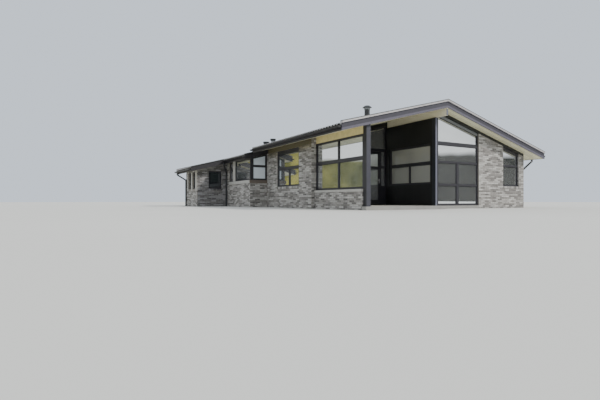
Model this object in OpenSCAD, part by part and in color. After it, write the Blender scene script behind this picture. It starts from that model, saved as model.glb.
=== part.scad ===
// Single-storey beach house: low gabled roof on brick walls, with a covered corner terrace.
// While a piece is drawn, x = 0 is the ridge line, y = 0 the front gable wall's face and z = 0 the ground.
// place() then moves the origin under the middle of the whole house.

/* [House] */
// Distance from the left wall's outer face to the ridge line
ridge_from_left = 3830; // [3700:10:3950]
// Thickness of the brick walls
wall_t = 300; // [260:5:340]
// Height of the floor slabs above the ground
slab_h = 120; // [80:5:180]

/* [Roof] */
// Height of the sheets' crests at the ridge
ridge_h = 3910; // [3850:10:4050]
// Roof pitch in degrees
pitch = 14.5; // [13.5:0.25:15.5]
// Vertical thickness of the roof deck with its boarded soffit
deck_h = 180; // [140:5:220]
// Depth of the corrugated sheets from crest to deck
sheet_h = 60; // [45:1:75]
// Spacing of the sheets' waves
wave_pitch = 177; // [130:1:220]
// Step down from the front roof to the rear roof
rear_drop = 200; // [160:5:230]
// Distance from the end of the front roof to the kitchen bay
step_gap = 100; // [70:5:160]
// Overhang past the gable walls
verge = 450; // [420:10:600]
// Overhang past the left wall
left_eave = 790; // [600:10:900]
// Overhang past the right wall
right_eave = 760; // [500:10:900]
// Overhang past the kitchen bay
kitchen_eave = 280; // [200:10:380]
// Overhang past the wing
wing_eave = 400; // [300:10:600]

/* [Verges and eaves] */
// Thickness of the barge boards
barge_t = 40; // [25:1:50]
// Height that the verge cap stands above the crests
cap_rise = 60; // [40:1:80]
// Depth that the verge cap reaches below the crests
cap_drop = 20; // [10:1:40]
// Height of the low caps over the step, the kitchen bay and the wing
low_cap_rise = 15; // [8:1:30]
// Distance that the verge cap stands out from the barge boards
cap_lip = 25; // [15:1:35]
// Depth of the set-back band between the cap and the lower barge board
band_h = 150; // [120:1:170]
// Set-back of that band
band_set = 15; // [10:1:20]
// Width of the verge cap's kerb on the deck
kerb_w = 60; // [40:1:90]
// Depth that the boards reach below the soffit
board_lip = 10; // [0:1:30]
// Thickness of the eaves boards
fascia_t = 30; // [20:1:40]
// Outer diameter of the half-round gutters
gutter_d = 125; // [100:5:150]
// Thickness of the gutter metal
gutter_t = 5; // [3:1:8]
// Diameter of the downpipes
pipe_d = 75; // [60:1:90]
// Gap between a downpipe and the wall behind it
pipe_gap = 20; // [10:1:40]

/* [Terrace] */
// Depth of the terrace behind the gable wall's face
terrace_d = 2750; // [2600:10:2900]
// Thickness of the terrace's timber walls
timber_t = 150; // [130:5:180]
// Side of the square corner post
post_w = 170; // [130:5:190]
// Distance from the roof's front edge to the corner post
post_inset = 100; // [80:10:200]
// Width of the ridge beam
beam_w = 80; // [70:2:90]
// Width of the ridge post
ridge_post_w = 80; // [70:2:90]
// Distance of the ridge post's middle to the left of the ridge
ridge_post_shift = 50; // [48:1:60]
// Depth of the ridge beam
beam_h = 280; // [220:5:320]
// Width of the eaves beam
eave_beam_w = 120; // [100:5:140]
// Set-back of the windscreen from the left piers' faces
recess = 210; // [170:5:240]
// Thickness of the windscreen's low wall
screen_wall_t = 230; // [200:5:260]
// Height of the low wall's sill top
screen_h = 690; // [600:10:850]
// Thickness of the low wall's sill
sill_t = 80; // [50:5:100]

/* [Openings] */
// Height of the window sills
sill_h = 900; // [850:10:950]
// Height of the transoms' middle
transom_h = 1760; // [1700:10:1820]
// Depth of the window heads below the ridge
head_drop = 1460; // [1430:10:1520]
// Width of the window frames
frame_w = 60; // [45:1:75]
// Width of the bars between panes
bar_w = 70; // [50:1:90]
// How much deeper than a bar the rails at eye level are
deep_rail_more = 35; // [10:1:60]
// Depth of the window frames
frame_d = 90; // [70:1:110]
// Thickness of the double glazing
glass_t = 24; // [18:1:30]
// Width of the gable glazing between the ridge post and the brick
gable_glass_w = 2290; // [2100:5:2400]
// Width of the gable's brick pier
gable_pier_w = 1530; // [1400:10:1700]
// Width of the gable's right window
gable_window_w = 1070; // [900:10:1150]
// Width of the brick between that window and the house's right corner
gable_corner_w = 340; // [300:5:450]
// Depth of the board between the soffit and the gable wall
frieze_h = 115; // [80:5:150]

/* [Left side] */
// Length of the pier beside the terrace
near_pier_l = 980; // [700:10:1000]
// Length of the window between the piers
left_window_l = 1960; // [1900:10:2300]
// Length of the pier between that window and the kitchen bay
far_pier_l = 1080; // [900:10:1200]
// Length of the kitchen bay
kitchen_l = 3130; // [3000:10:3300]
// Distance that the kitchen bay stands out from the left wall
kitchen_out = 860; // [760:10:900]
// Height of the kitchen window sills
kitchen_sill_h = 1250; // [1150:10:1300]
// Length of the kitchen's long window
kitchen_window_l = 1950; // [1800:10:2050]
// Width of the pale post in the kitchen bay
pale_post_w = 280; // [200:10:320]
// Length of the kitchen's narrow window
narrow_window_l = 520; // [400:10:600]
// Distance that the wing stands out from the kitchen bay
wing_out = 1580; // [1400:10:1700]
// Length of the wing
wing_l = 2170; // [2000:10:2600]
// Width of the wing's front window
wing_window_w = 700; // [600:10:800]
// Depth of brick between the wing's soffit and its front window
wing_head_drop = 20; // [10:2:100]

/* [Terrace door] */
// Width of the door leaf
door_w = 910; // [850:10:960]
// Depth of the door leaf's top below the window heads
door_drop = 75; // [60:5:120]
// Thickness of the door leaf
door_t = 56; // [45:1:64]
// Running gap round the door leaf
door_gap = 8; // [7:0.5:10]
// Width of the side light between the door and the corner
side_light_w = 325; // [280:5:360]

/* [Roof fittings] */
// Diameter of the steel flue
flue_d = 240; // [200:5:250]
// Height of the flue's top above the ridge
flue_rise = 610; // [500:10:800]
// Diameter of the roof vents
vent_d = 190; // [150:5:220]
// Height of the vent over the kitchen above the crests
low_vent_h = 345; // [300:5:450]
// Height of the other vent above the crests
high_vent_h = 465; // [400:5:550]

/* [Hidden] */
$fn = 48;

slope = tan(pitch);
roof_h = sheet_h + deck_h;
// Clearance where one sloping face lies on another
seat = 0.3;
soffit_h = roof_h + seat;
deck_set = sheet_h + seat;

// Lines across the house, seen from the front
x_side_wall = -ridge_post_shift - ridge_post_w / 2;
x_bay = x_side_wall + ridge_post_w;
x_gable_brick = x_bay + gable_glass_w;
x_gable_window = x_gable_brick + gable_pier_w;
x_gable_corner = x_gable_window + gable_window_w;
x_right = x_gable_corner + gable_corner_w;
x_left = -ridge_from_left;
x_kitchen = x_left - kitchen_out;
x_wing = x_kitchen - wing_out;
x_screen = x_left + recess;
x_eave_left = x_left - left_eave;
x_eave_right = x_right + right_eave;
x_eave_kitchen = x_kitchen - kitchen_eave;
x_eave_wing = x_wing - wing_eave;

// Lines along the house, from the front
pier_lead = 20;
gable_set = 50;
ridge_post_l = 170;
step_board = 60;
y_roof_front = -verge;
y_deck_front = y_roof_front + barge_t;
y_post = y_roof_front + post_inset;
y_screen = y_post + post_w;
y_side_wall = gable_set + ridge_post_l;
y_pier = terrace_d - pier_lead;
y_left_window = y_pier + near_pier_l;
y_far_pier = y_left_window + left_window_l;
kitchen_y = y_far_pier + far_pier_l;
y_wing = kitchen_y + kitchen_l;
house_l = y_wing + wing_l;
y_rear_wall = house_l - wall_t;
y_roof_back = house_l + verge;
y_deck_back = y_roof_back - barge_t;
y_wing_roof = y_wing - verge;
front_roof_l = kitchen_y - step_gap;
y_step = front_roof_l - step_board;

// The whole house lies between these lines
x_min = x_eave_wing - fascia_t - gutter_d;
x_max = x_eave_right + fascia_t + gutter_d;
y_min = y_roof_front - cap_lip;
y_max = y_roof_back + cap_lip;

// Height of the crests, the deck's top and the soffit at a distance from the ridge
function crest(x, drop) = ridge_h - drop - slope * abs(x);
function deck_top(x, drop) = crest(x, drop) - deck_set;
function soffit(x, drop) = crest(x, drop) - soffit_h;

// Heights that follow the roof
head_h = ridge_h - head_drop;
door_top = head_h - door_drop;
wing_head_h = soffit(x_wing, rear_drop) - wing_head_drop;
flue_top = ridge_h + flue_rise;

module place() translate([-(x_min + x_max) / 2, -(y_min + y_max) / 2, 0]) children();

module block(x0, x1, y0, y1, z0, z1) translate([x0, y0, z0]) cube([x1 - x0, y1 - y0, z1 - z0]);

// Gives an outline of x and z a length from y0 to y1
module across(y0, y1) translate([0, y1, 0]) rotate([90, 0, 0]) linear_extrude(y1 - y0) children();

// Gives an outline of y and z a width from x0 to x1
module along(x0, x1) translate([x0, 0, 0]) rotate([90, 0, 90]) linear_extrude(x1 - x0) children();

module rect(u0, u1, v0, v1) translate([u0, v0]) square([u1 - u0, v1 - v0]);

// Outline between two heights measured from the crests, from x0 to x1 with the ridge between
module roof_band(x0, x1, high, low, drop = 0) {
    xs = (x0 < 0 && x1 > 0) ? [x0, 0, x1] : [x0, x1];
    upper = [for (x = xs) [x, crest(x, drop) + high]];
    lower = [for (i = [len(xs) - 1:-1:0]) [xs[i], crest(xs[i], drop) + low]];
    polygon(concat(upper, lower));
}

// Outline from the slab up to the soffit
module wall_outline(x0, x1, drop = 0, below = 0) {
    xs = (x0 < 0 && x1 > 0) ? [x1, 0, x0] : [x1, x0];
    polygon(concat([[x0, slab_h], [x1, slab_h]], [for (x = xs) [x, soffit(x, drop) - below]]));
}

// Window outline under the slope, with its head parallel to the soffit
module raked_outline(x0, x1, z0, below, drop = 0) {
    polygon([[x0, z0], [x1, z0], [x1, soffit(x1, drop) - below], [x0, soffit(x0, drop) - below]]);
}

// Rectangular frame with posts given as [place, low, high] and rails given as heights
module frame(u0, u1, v0, v1, posts = [], rails = []) {
    difference() {
        rect(u0, u1, v0, v1);
        rect(u0 + frame_w, u1 - frame_w, v0 + frame_w, v1 - frame_w);
    }
    for (p = posts) rect(p[0] - bar_w / 2, p[0] + bar_w / 2, p[1], p[2]);
    for (r = rails) rect(u0, u1, r - bar_w / 2, r + bar_w / 2);
}

// Two rails that overlap as one deeper rail
function deep_rail(z) = [z - deep_rail_more / 2, z + deep_rail_more / 2];

// The panes that a rectangular frame leaves
module panes(u0, u1, v0, v1, posts = [], rails = []) {
    difference() {
        rect(u0, u1, v0, v1);
        frame(u0, u1, v0, v1, posts, rails);
    }
}

// Floors
screen_edge = (screen_wall_t - frame_d) / 2;

module floor_slab() {
    color("lightgray") place() linear_extrude(slab_h) polygon([
        [x_side_wall, 0], [x_right, 0], [x_right, house_l], [x_wing, house_l], [x_wing, y_wing],
        [x_kitchen, y_wing], [x_kitchen, kitchen_y], [x_left, kitchen_y], [x_left, y_pier],
        [x_side_wall, y_pier]
    ]);
}

terrace_lip = 50;

module terrace_floor() {
    color("gainsboro") place()
        block(x_screen - screen_edge, x_side_wall, y_post - terrace_lip, y_pier, 0, slab_h);
}

// Brick walls
module gable_wall() {
    color("slategray") place() across(0, wall_t) difference() {
        wall_outline(x_gable_brick, x_right, 0, frieze_h);
        raked_outline(x_gable_window, x_gable_corner, sill_h, frieze_h - 1);
    }
}

// Side wall piece whose top follows the soffit
module side_wall(x0, y0, y1, drop) across(y0, y1) wall_outline(x0, x0 + wall_t, drop);

module left_wall() {
    color("slategray") place() {
        side_wall(x_left, y_pier, y_left_window, 0);
        block(x_left, x_left + wall_t, y_left_window, y_far_pier, slab_h, sill_h);
        side_wall(x_left, y_far_pier, y_step, 0);
        side_wall(x_left, y_step, kitchen_y, rear_drop);
    }
}

y_pale_post = kitchen_y + kitchen_window_l;
y_narrow_window = y_pale_post + pale_post_w;
y_kitchen_brick = y_narrow_window + narrow_window_l;

module kitchen_wall() {
    color("slategray") place() difference() {
        union() {
            side_wall(x_kitchen, kitchen_y, y_wing, rear_drop);
            across(kitchen_y, kitchen_y + wall_t)
                wall_outline(x_kitchen, x_left + wall_t, rear_drop);
        }
        block(x_kitchen - 1, x_left, kitchen_y - 1, kitchen_y + wall_t + 1,
            kitchen_sill_h, ridge_h);
        block(x_kitchen - 1, x_kitchen + wall_t + 1, kitchen_y - 1, y_kitchen_brick,
            kitchen_sill_h, ridge_h);
    }
}

module kitchen_post() {
    color("gainsboro") place() across(y_pale_post, y_narrow_window) difference() {
        wall_outline(x_kitchen, x_kitchen + wall_t, rear_drop);
        rect(x_kitchen - 1, x_kitchen + wall_t + 1, 0, kitchen_sill_h);
    }
}

// Wing: openings in its front wall and in its side wall
wing_window_inset = 600;
wing_light_inset = [290, 160];
wing_light_l = 600;
wing_head_step = 60;
x_wing_window = x_wing + wing_window_inset;
wing_lights = [y_wing + wing_light_inset[0], y_rear_wall - wing_light_inset[1] - wing_light_l];
wing_side_head = wing_head_h - wing_head_step;

module wing_wall() {
    color("slategray") place() difference() {
        union() {
            across(y_wing, y_wing + wall_t) wall_outline(x_wing, x_kitchen + wall_t, rear_drop);
            side_wall(x_wing, y_wing, house_l - wall_t, rear_drop);
        }
        block(x_wing_window, x_wing_window + wing_window_w, y_wing - 1, y_wing + wall_t + 1,
            sill_h, wing_head_h);
        for (y = wing_lights)
            block(x_wing - 1, x_wing + wall_t + 1, y, y + wing_light_l, sill_h, wing_side_head);
    }
}

// Windows of the rear wall and the right wall, each given as [start, width, sill, head]
wing_rear_inset = 900;
wing_rear_w = 900;
left_rear_inset = 700;
right_rear_inset = 2900;
rear_window_w = 1400;
rear_window_drop = 350;
middle_window_w = 1600;
middle_window_drop = 200;
rear_windows = [
    [x_wing + wing_rear_inset, wing_rear_w, sill_h, wing_head_h],
    [x_left + left_rear_inset, rear_window_w, sill_h, head_h - rear_window_drop],
    [-middle_window_w / 2, middle_window_w, sill_h, head_h - middle_window_drop],
    [x_right - right_rear_inset, rear_window_w, sill_h, head_h - rear_window_drop]
];
large_window_w = 1800;
large_window_drop = 350;
large_window_1 = 1200;
large_window_2 = 3900;
small_window_w = 1200;
small_window_drop = 500;
small_window_1 = 4650;
small_window_2 = 2350;
right_windows = [
    [large_window_1, large_window_w, sill_h, head_h - large_window_drop],
    [large_window_2, large_window_w, sill_h, head_h - large_window_drop],
    [house_l - small_window_1, small_window_w, sill_h, head_h - small_window_drop],
    [house_l - small_window_2, small_window_w, sill_h, head_h - small_window_drop]
];

module rear_wall() {
    color("slategray") place() across(house_l - wall_t, house_l) difference() {
        wall_outline(x_wing, x_right, rear_drop);
        for (w = rear_windows) rect(w[0], w[0] + w[1], w[2], w[3]);
    }
}

module right_wall() {
    color("slategray") place() difference() {
        union() {
            side_wall(x_right - wall_t, wall_t, y_step, 0);
            side_wall(x_right - wall_t, y_step, y_rear_wall, rear_drop);
        }
        for (w = right_windows)
            block(x_right - wall_t - 1, x_right + 1, w[0], w[0] + w[1], w[2], w[3]);
    }
}

// Black timber walls round the terrace
window_margin = 60;
ridge_beam_bottom = soffit(0, 0) - beam_h;
x_side_back = x_side_wall + timber_t;
y_house = terrace_d + timber_t;
side_margin = 200;
side_sill_rise = 30;
y_side_window = y_side_wall + window_margin;
side_window_l = terrace_d - y_side_window - side_margin;
side_sill_h = sill_h + side_sill_rise;

module terrace_side_wall() {
    color("#15171a") place() difference() {
        across(y_side_wall, y_house) wall_outline(x_side_wall, x_side_back);
        block(x_side_wall - 1, x_side_back + 1, y_side_wall - 1, terrace_d, ridge_beam_bottom, ridge_h);
        block(-beam_w / 2, x_side_back + 1, terrace_d - 1, y_house + 1, ridge_beam_bottom, ridge_h);
        block(x_side_wall - 1, x_side_back + 1, y_side_window, y_side_window + side_window_l,
            side_sill_h, head_h);
    }
}

head_band = 150;
x_terrace_left = x_left + wall_t;
x_side_light = x_side_wall - side_light_w;
x_door = x_side_light - door_w;
x_door_post = x_door - frame_w - door_gap;
x_back_window = x_terrace_left + window_margin;
x_back_window_end = x_door_post - window_margin;

module terrace_back_wall() {
    color("#15171a") place() across(terrace_d, y_house) difference() {
        wall_outline(x_terrace_left, x_door_post, 0);
        raked_outline(x_back_window, x_back_window_end, sill_h, head_band);
    }
}

module terrace_door_lintel() {
    color("#15171a") place() across(terrace_d, y_house)
        roof_band(x_door_post, x_side_wall, -soffit_h, seat - soffit_h - head_band);
}

// Low wall of the windscreen and the pale sills
module screen_wall() {
    color("slategray") place()
        block(x_screen - screen_edge, x_screen - screen_edge + screen_wall_t, y_screen, y_pier,
            slab_h, screen_h - sill_t);
}

kitchen_sill_t = 140;
sill_nose = 30;

module sills() {
    color("lightgray") place() {
        block(x_screen - screen_edge - sill_nose, x_screen - screen_edge + screen_wall_t + sill_nose,
            y_screen, y_pier, screen_h - sill_t, screen_h);
        block(x_kitchen - sill_nose, x_kitchen, kitchen_y - sill_nose, y_kitchen_brick,
            kitchen_sill_h - kitchen_sill_t, kitchen_sill_h);
        block(x_kitchen, x_left, kitchen_y - sill_nose, kitchen_y,
            kitchen_sill_h - kitchen_sill_t, kitchen_sill_h);
    }
}

// Posts and beams
post_proud = 15;

module corner_post() {
    color("#5c5d68") place() across(y_post, y_screen)
        wall_outline(x_screen - post_proud, x_screen - post_proud + post_w, 0);
}

module ridge_post() {
    color("#5c5d68") place()
        block(x_side_wall, x_bay, gable_set, y_side_wall, slab_h, ridge_beam_bottom);
}

module ridge_beam() {
    color("#b9ad84") place() across(y_deck_front, y_step) difference() {
        roof_band(-beam_w / 2, beam_w / 2, -soffit_h, -soffit_h - beam_h - beam_w);
        rect(-beam_w, beam_w, 0, ridge_beam_bottom);
    }
}

// Eaves beams
beam_head = 30;
pier_board_t = 25;
eave_beam_bottom = head_h + beam_head;

module under_soffit(x0, x1, y0, y1) {
    across(y0, y1) difference() {
        wall_outline(x0, x1);
        rect(x0 - 1, x1 + 1, 0, eave_beam_bottom);
    }
}

// Beams over the windscreen and the window behind it, and the board along the piers' faces
module eave_beam() {
    color("#b9ad84") place() {
        under_soffit(x_screen, x_screen + eave_beam_w, y_screen, y_pier);
        difference() {
            under_soffit(x_left - pier_board_t, x_left + eave_beam_w, y_pier, y_step);
            for (span = [[y_pier - 1, y_left_window], [y_far_pier, y_step + 1]])
                block(x_left, x_left + eave_beam_w + 1, span[0], span[1], 0, ridge_h);
        }
    }
}

module gable_frieze() {
    color("#b4ad8e") place() across(0, wall_t)
        roof_band(beam_w / 2, x_right, -soffit_h, seat - soffit_h - frieze_h);
}

// Frames and glass of the front gable
bay_post_shift = 30;
bay_transom = 120;
frame_head = 120;
x_bay_post = x_bay + gable_glass_w / 2 - bay_post_shift;

module bay_panes() {
    difference() {
        polygon([
            [x_bay + frame_w, slab_h + frame_w], [x_gable_brick - frame_w, slab_h + frame_w],
            [x_gable_brick - frame_w, soffit(x_gable_brick - frame_w, 0) - frieze_h - frame_head],
            [x_bay + frame_w, soffit(x_bay + frame_w, 0) - frieze_h - frame_head]
        ]);
        for (z = [sill_h, transom_h]) rect(x_bay, x_gable_brick, z - bar_w / 2, z + bar_w / 2);
        rect(x_bay, x_gable_brick, head_h - bay_transom / 2, head_h + bay_transom / 2);
        rect(x_bay_post - bay_transom / 2, x_bay_post + bay_transom / 2, slab_h, transom_h);
    }
}

module gable_window_panes() {
    difference() {
        raked_outline(x_gable_window + frame_w, x_gable_corner - frame_w, sill_h + frame_w,
            frieze_h + frame_head);
        rect(x_gable_window, x_gable_corner, transom_h - bar_w / 2, transom_h + bar_w / 2);
    }
}

module gable_frames() {
    color("#2a3138") place() {
        across(gable_set, gable_set + frame_d) difference() {
            raked_outline(x_bay, x_gable_brick, slab_h, frieze_h);
            bay_panes();
            rect(x_bay - 1, beam_w / 2, ridge_beam_bottom, ridge_h);
        }
        across(gable_set, gable_set + frame_d) difference() {
            raked_outline(x_gable_window, x_gable_corner, sill_h, frieze_h);
            gable_window_panes();
        }
    }
}

// Depth from a frame's face to its glass
glass_set = (frame_d - glass_t) / 2;

module gable_glass() {
    color("lightblue", 0.4) place() across(gable_set + glass_set, gable_set + glass_set + glass_t) {
        bay_panes();
        gable_window_panes();
    }
}

// Windscreen on the low wall
screen_post_shift = -30;
screen_rail_drop = 58;
screen_post = [[(y_screen + y_pier) / 2 + screen_post_shift, screen_h, eave_beam_bottom]];
screen_rails = deep_rail(transom_h - screen_rail_drop);

module screen_frame() {
    color("#2a3138") place() along(x_screen, x_screen + frame_d)
        frame(y_screen, y_pier, screen_h, eave_beam_bottom, screen_post, screen_rails);
}

// Window in the terrace's side wall
side_rail_drop = 35;
side_rails = deep_rail(transom_h - side_rail_drop);
side_post = [[y_side_window + side_window_l / 2, side_sill_h, transom_h]];
x_side_frame = x_side_wall + (timber_t - frame_d) / 2;

module terrace_side_frame() {
    color("#2a3138") place() along(x_side_frame, x_side_frame + frame_d)
        frame(y_side_window, y_side_window + side_window_l, side_sill_h, head_h, side_post, side_rails);
}

// Window in the terrace's back wall
y_back_frame = terrace_d + (timber_t - frame_d) / 2;
x_back_post = (x_back_window + x_back_window_end) / 2;

module back_window_panes() {
    difference() {
        raked_outline(x_back_window + frame_w, x_back_window_end - frame_w, sill_h + frame_w,
            head_band + frame_w);
        for (z = [transom_h, head_h])
            rect(x_back_window, x_back_window_end, z - bar_w / 2, z + bar_w / 2);
        rect(x_back_post - bar_w / 2, x_back_post + bar_w / 2, sill_h, head_h);
    }
}

module terrace_window_frame() {
    color("#2a3138") place() across(y_back_frame, y_back_frame + frame_d) difference() {
        raked_outline(x_back_window, x_back_window_end, sill_h, head_band);
        back_window_panes();
    }
}

// Frame of the terrace door with its fanlight and side light
door_head = door_top + door_gap;
x_side_bar = x_side_light + door_gap;
door_stop = 18;
hinge_r = 9;
hinge_clear = 2;
hinge_h = 45;
hinge_inset = 230;
hinge_low = slab_h + hinge_inset;
hinge_high = door_top - hinge_inset;
hinge_heights = [hinge_low, (hinge_low + hinge_high) / 2, hinge_high];
flap_t = 3;
flap_w = 30;
x_hinge = x_door - door_gap / 2;
y_hinge = y_back_frame - hinge_r - hinge_clear;

module door_frame_panes() {
    raked_outline(x_door_post + frame_w, x_side_wall - frame_w, head_h + bar_w / 2, head_band + frame_w);
    for (span = [[sill_h, transom_h - bar_w], [transom_h, door_head]])
        rect(x_side_bar + frame_w, x_side_wall - frame_w, span[0], span[1]);
}

module door_frame_outline(stop) {
    difference() {
        raked_outline(x_door_post, x_side_wall, slab_h, head_band);
        rect(x_door_post + frame_w + stop, x_side_bar - stop, slab_h - 1, door_head - stop);
        door_frame_panes();
    }
}

// Half of a hinge: its knuckle and the flap on the face beside it
module hinge_half(z, side) {
    x_flap = x_hinge + side * flap_w;
    translate([x_hinge, y_hinge, z]) cylinder(r = hinge_r, h = hinge_h);
    block(min(x_hinge, x_flap), max(x_hinge, x_flap), y_back_frame - flap_t, y_back_frame,
        z, z + hinge_h);
}

module terrace_door_frame() {
    y_stop = y_back_frame + door_t + door_gap;
    color("#2a3138") place() {
        across(y_back_frame, y_stop) door_frame_outline(0);
        across(y_stop, y_back_frame + frame_d) door_frame_outline(door_stop);
        for (z = hinge_heights) hinge_half(z - hinge_h - 1, -1);
    }
}

module terrace_glass() {
    color("lightblue", 0.4) place() {
        along(x_screen + glass_set, x_screen + glass_set + glass_t)
            panes(y_screen, y_pier, screen_h, eave_beam_bottom, screen_post, screen_rails);
        along(x_side_frame + glass_set, x_side_frame + glass_set + glass_t)
            panes(y_side_window, y_side_window + side_window_l, side_sill_h, head_h, side_post, side_rails);
        across(y_back_frame + glass_set, y_back_frame + glass_set + glass_t) {
            back_window_panes();
            door_frame_panes();
        }
    }
}

// Windows of the left side
left_frame_set = 20;
left_rail_drop = 80;
left_post_share = 0.45;
left_header_h = 110;
left_window_head = eave_beam_bottom - left_header_h;
left_rail_h = transom_h - left_rail_drop;
left_rails = deep_rail(left_rail_h);
left_post = [[y_left_window + left_window_l * left_post_share, sill_h, left_rail_h]];
x_left_frame = x_left + left_frame_set;
kitchen_rail_drop = 357;
kitchen_set = 30;
kitchen_head_h = soffit(x_kitchen, rear_drop);
kitchen_rail = [kitchen_head_h - kitchen_rail_drop];
x_kitchen_frame = x_kitchen + kitchen_set;
x_return = x_kitchen_frame + frame_d;
y_kitchen_frame = kitchen_y + kitchen_set;

module left_window_frame() {
    color("#2a3138") place() along(x_left_frame, x_left_frame + frame_d) {
        frame(y_left_window, y_far_pier, sill_h, left_window_head, left_post, left_rails);
        rect(y_left_window, y_far_pier, left_window_head - 1, eave_beam_bottom);
    }
}

// Frame between a sill and the soffit, with its head cut to the slope
module eaves_frame(y0, y1, rails) {
    along(x_kitchen_frame, x_kitchen_frame + frame_d)
        frame(y0, y1, kitchen_sill_h, kitchen_head_h, [], rails);
    across(y0, y1) difference() {
        wall_outline(x_kitchen_frame, x_kitchen_frame + frame_d, rear_drop);
        rect(x_kitchen_frame - 1, x_kitchen_frame + frame_d + 1, 0, kitchen_head_h);
    }
}

module kitchen_return_panes() {
    difference() {
        raked_outline(x_return + frame_w, x_left - frame_w, kitchen_sill_h + frame_w, frame_w, rear_drop);
        rect(x_return, x_left, kitchen_rail[0] - bar_w / 2, kitchen_rail[0] + bar_w / 2);
    }
}

module kitchen_frames() {
    color("#2a3138") place() {
        eaves_frame(y_kitchen_frame, y_pale_post, []);
        eaves_frame(y_narrow_window, y_kitchen_brick, kitchen_rail);
        across(y_kitchen_frame, y_kitchen_frame + frame_d) difference() {
            raked_outline(x_return, x_left, kitchen_sill_h, 0, rear_drop);
            kitchen_return_panes();
        }
    }
}

window_set = 80;
y_wing_frame = y_wing + window_set;
x_wing_frame = x_wing + window_set;

module wing_frames() {
    color("#2a3138") place() {
        across(y_wing_frame, y_wing_frame + frame_d)
            frame(x_wing_window, x_wing_window + wing_window_w, sill_h, wing_head_h);
        for (y = wing_lights) along(x_wing_frame, x_wing_frame + frame_d)
            frame(y, y + wing_light_l, sill_h, wing_side_head);
    }
}

module left_side_glass() {
    color("lightblue", 0.4) place() {
        along(x_left_frame + glass_set, x_left_frame + glass_set + glass_t)
            panes(y_left_window, y_far_pier, sill_h, left_window_head, left_post, left_rails);
        along(x_kitchen_frame + glass_set, x_kitchen_frame + glass_set + glass_t) {
            panes(y_kitchen_frame, y_pale_post, kitchen_sill_h, kitchen_head_h);
            panes(y_narrow_window, y_kitchen_brick, kitchen_sill_h, kitchen_head_h, [], kitchen_rail);
        }
        across(y_kitchen_frame + glass_set, y_kitchen_frame + glass_set + glass_t) kitchen_return_panes();
        across(y_wing_frame + glass_set, y_wing_frame + glass_set + glass_t)
            panes(x_wing_window, x_wing_window + wing_window_w, sill_h, wing_head_h);
        for (y = wing_lights) along(x_wing_frame + glass_set, x_wing_frame + glass_set + glass_t)
            panes(y, y + wing_light_l, sill_h, wing_side_head);
    }
}

// Windows of the rear wall and the right wall
x_right_frame = x_right - frame_d - window_set;
y_rear_frame = house_l - frame_d - window_set;

module back_frames() {
    color("#2a3138") place() {
        across(y_rear_frame, y_rear_frame + frame_d) for (w = rear_windows)
            frame(w[0], w[0] + w[1], w[2], w[3], [[w[0] + w[1] / 2, w[2], w[3]]]);
        along(x_right_frame, x_right_frame + frame_d) for (w = right_windows)
            frame(w[0], w[0] + w[1], w[2], w[3], [[w[0] + w[1] / 2, w[2], w[3]]]);
    }
}

module back_glass() {
    color("lightblue", 0.4) place() {
        across(y_rear_frame + glass_set, y_rear_frame + glass_set + glass_t) for (w = rear_windows)
            panes(w[0], w[0] + w[1], w[2], w[3], [[w[0] + w[1] / 2, w[2], w[3]]]);
        along(x_right_frame + glass_set, x_right_frame + glass_set + glass_t) for (w = right_windows)
            panes(w[0], w[0] + w[1], w[2], w[3], [[w[0] + w[1] / 2, w[2], w[3]]]);
    }
}

// Terrace door leaf, hung at its left edge and opening outwards onto the terrace
stile_w = 90;
kick_h = 200;
door_rail_h = transom_h - bar_w;

module door_panes() {
    for (span = [[slab_h + kick_h, door_rail_h - bar_w / 2], [door_rail_h + bar_w / 2, door_top - stile_w]])
        rect(x_door + stile_w, x_side_light - stile_w, span[0], span[1]);
}

module terrace_door() {
    color("#2a3138") place() {
        across(y_back_frame, y_back_frame + door_t) difference() {
            rect(x_door, x_side_light, slab_h + door_gap, door_top);
            door_panes();
        }
        for (z = hinge_heights) hinge_half(z, 1);
    }
}

module terrace_door_glass() {
    y_pane = y_back_frame + (door_t - glass_t) / 2;
    color("lightblue", 0.4) place() across(y_pane, y_pane + glass_t) door_panes();
}

handle_rise = 1050;
handle_h = slab_h + handle_rise;
plate_w = 30;
plate_t = 6;
plate_above = 60;
plate_below = 140;
lever_l = 120;
lever_r = 9;
lever_reach = 50;

// Plate, spindle and lever on one face of the leaf
module handle(y_face, out) {
    x_handle = x_side_light - stile_w / 2;
    y_plate = y_face + out * plate_t;
    y_lever = y_face + out * lever_reach;
    block(x_handle - plate_w / 2, x_handle + plate_w / 2, min(y_face, y_plate), max(y_face, y_plate),
        handle_h - plate_below, handle_h + plate_above);
    translate([x_handle, min(y_face, y_lever), handle_h]) rotate([-90, 0, 0])
        cylinder(r = lever_r, h = lever_reach);
    translate([x_handle - lever_l, y_lever, handle_h]) rotate([0, 90, 0])
        cylinder(r = lever_r, h = lever_l + lever_r);
}

module terrace_door_handle() {
    color("silver") place() {
        handle(y_back_frame, -1);
        handle(y_back_frame + door_t, 1);
    }
}

// Roof decks with their boarded soffits, and the board that closes the step between the roofs
module step_closure(x0, x1) across(y_step, front_roof_l) roof_band(x0, x1, -roof_h, -roof_h - rear_drop);

module roof_deck_left() {
    color("#b4ad8e") place() {
        across(y_deck_front, front_roof_l) roof_band(x_eave_left, 0, -deck_set, -roof_h);
        step_closure(x_eave_left, 0);
        difference() {
            across(front_roof_l, y_deck_back) roof_band(x_eave_wing, 0, -deck_set, -roof_h, rear_drop);
            block(x_eave_wing - 1, x_eave_kitchen, front_roof_l - 1, y_wing_roof, 0, ridge_h);
        }
    }
}

module roof_deck_right() {
    color("#b4ad8e") place() {
        across(y_deck_front, front_roof_l) roof_band(0, x_eave_right, -deck_set, -roof_h);
        step_closure(0, x_eave_right);
        across(front_roof_l, y_deck_back) roof_band(0, x_eave_right, -deck_set, -roof_h, rear_drop);
    }
}

// Corrugated sheets: a wave outline carried from the ridge down the slope
sheet_nose = 50;
wave_steps = 6;

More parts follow.
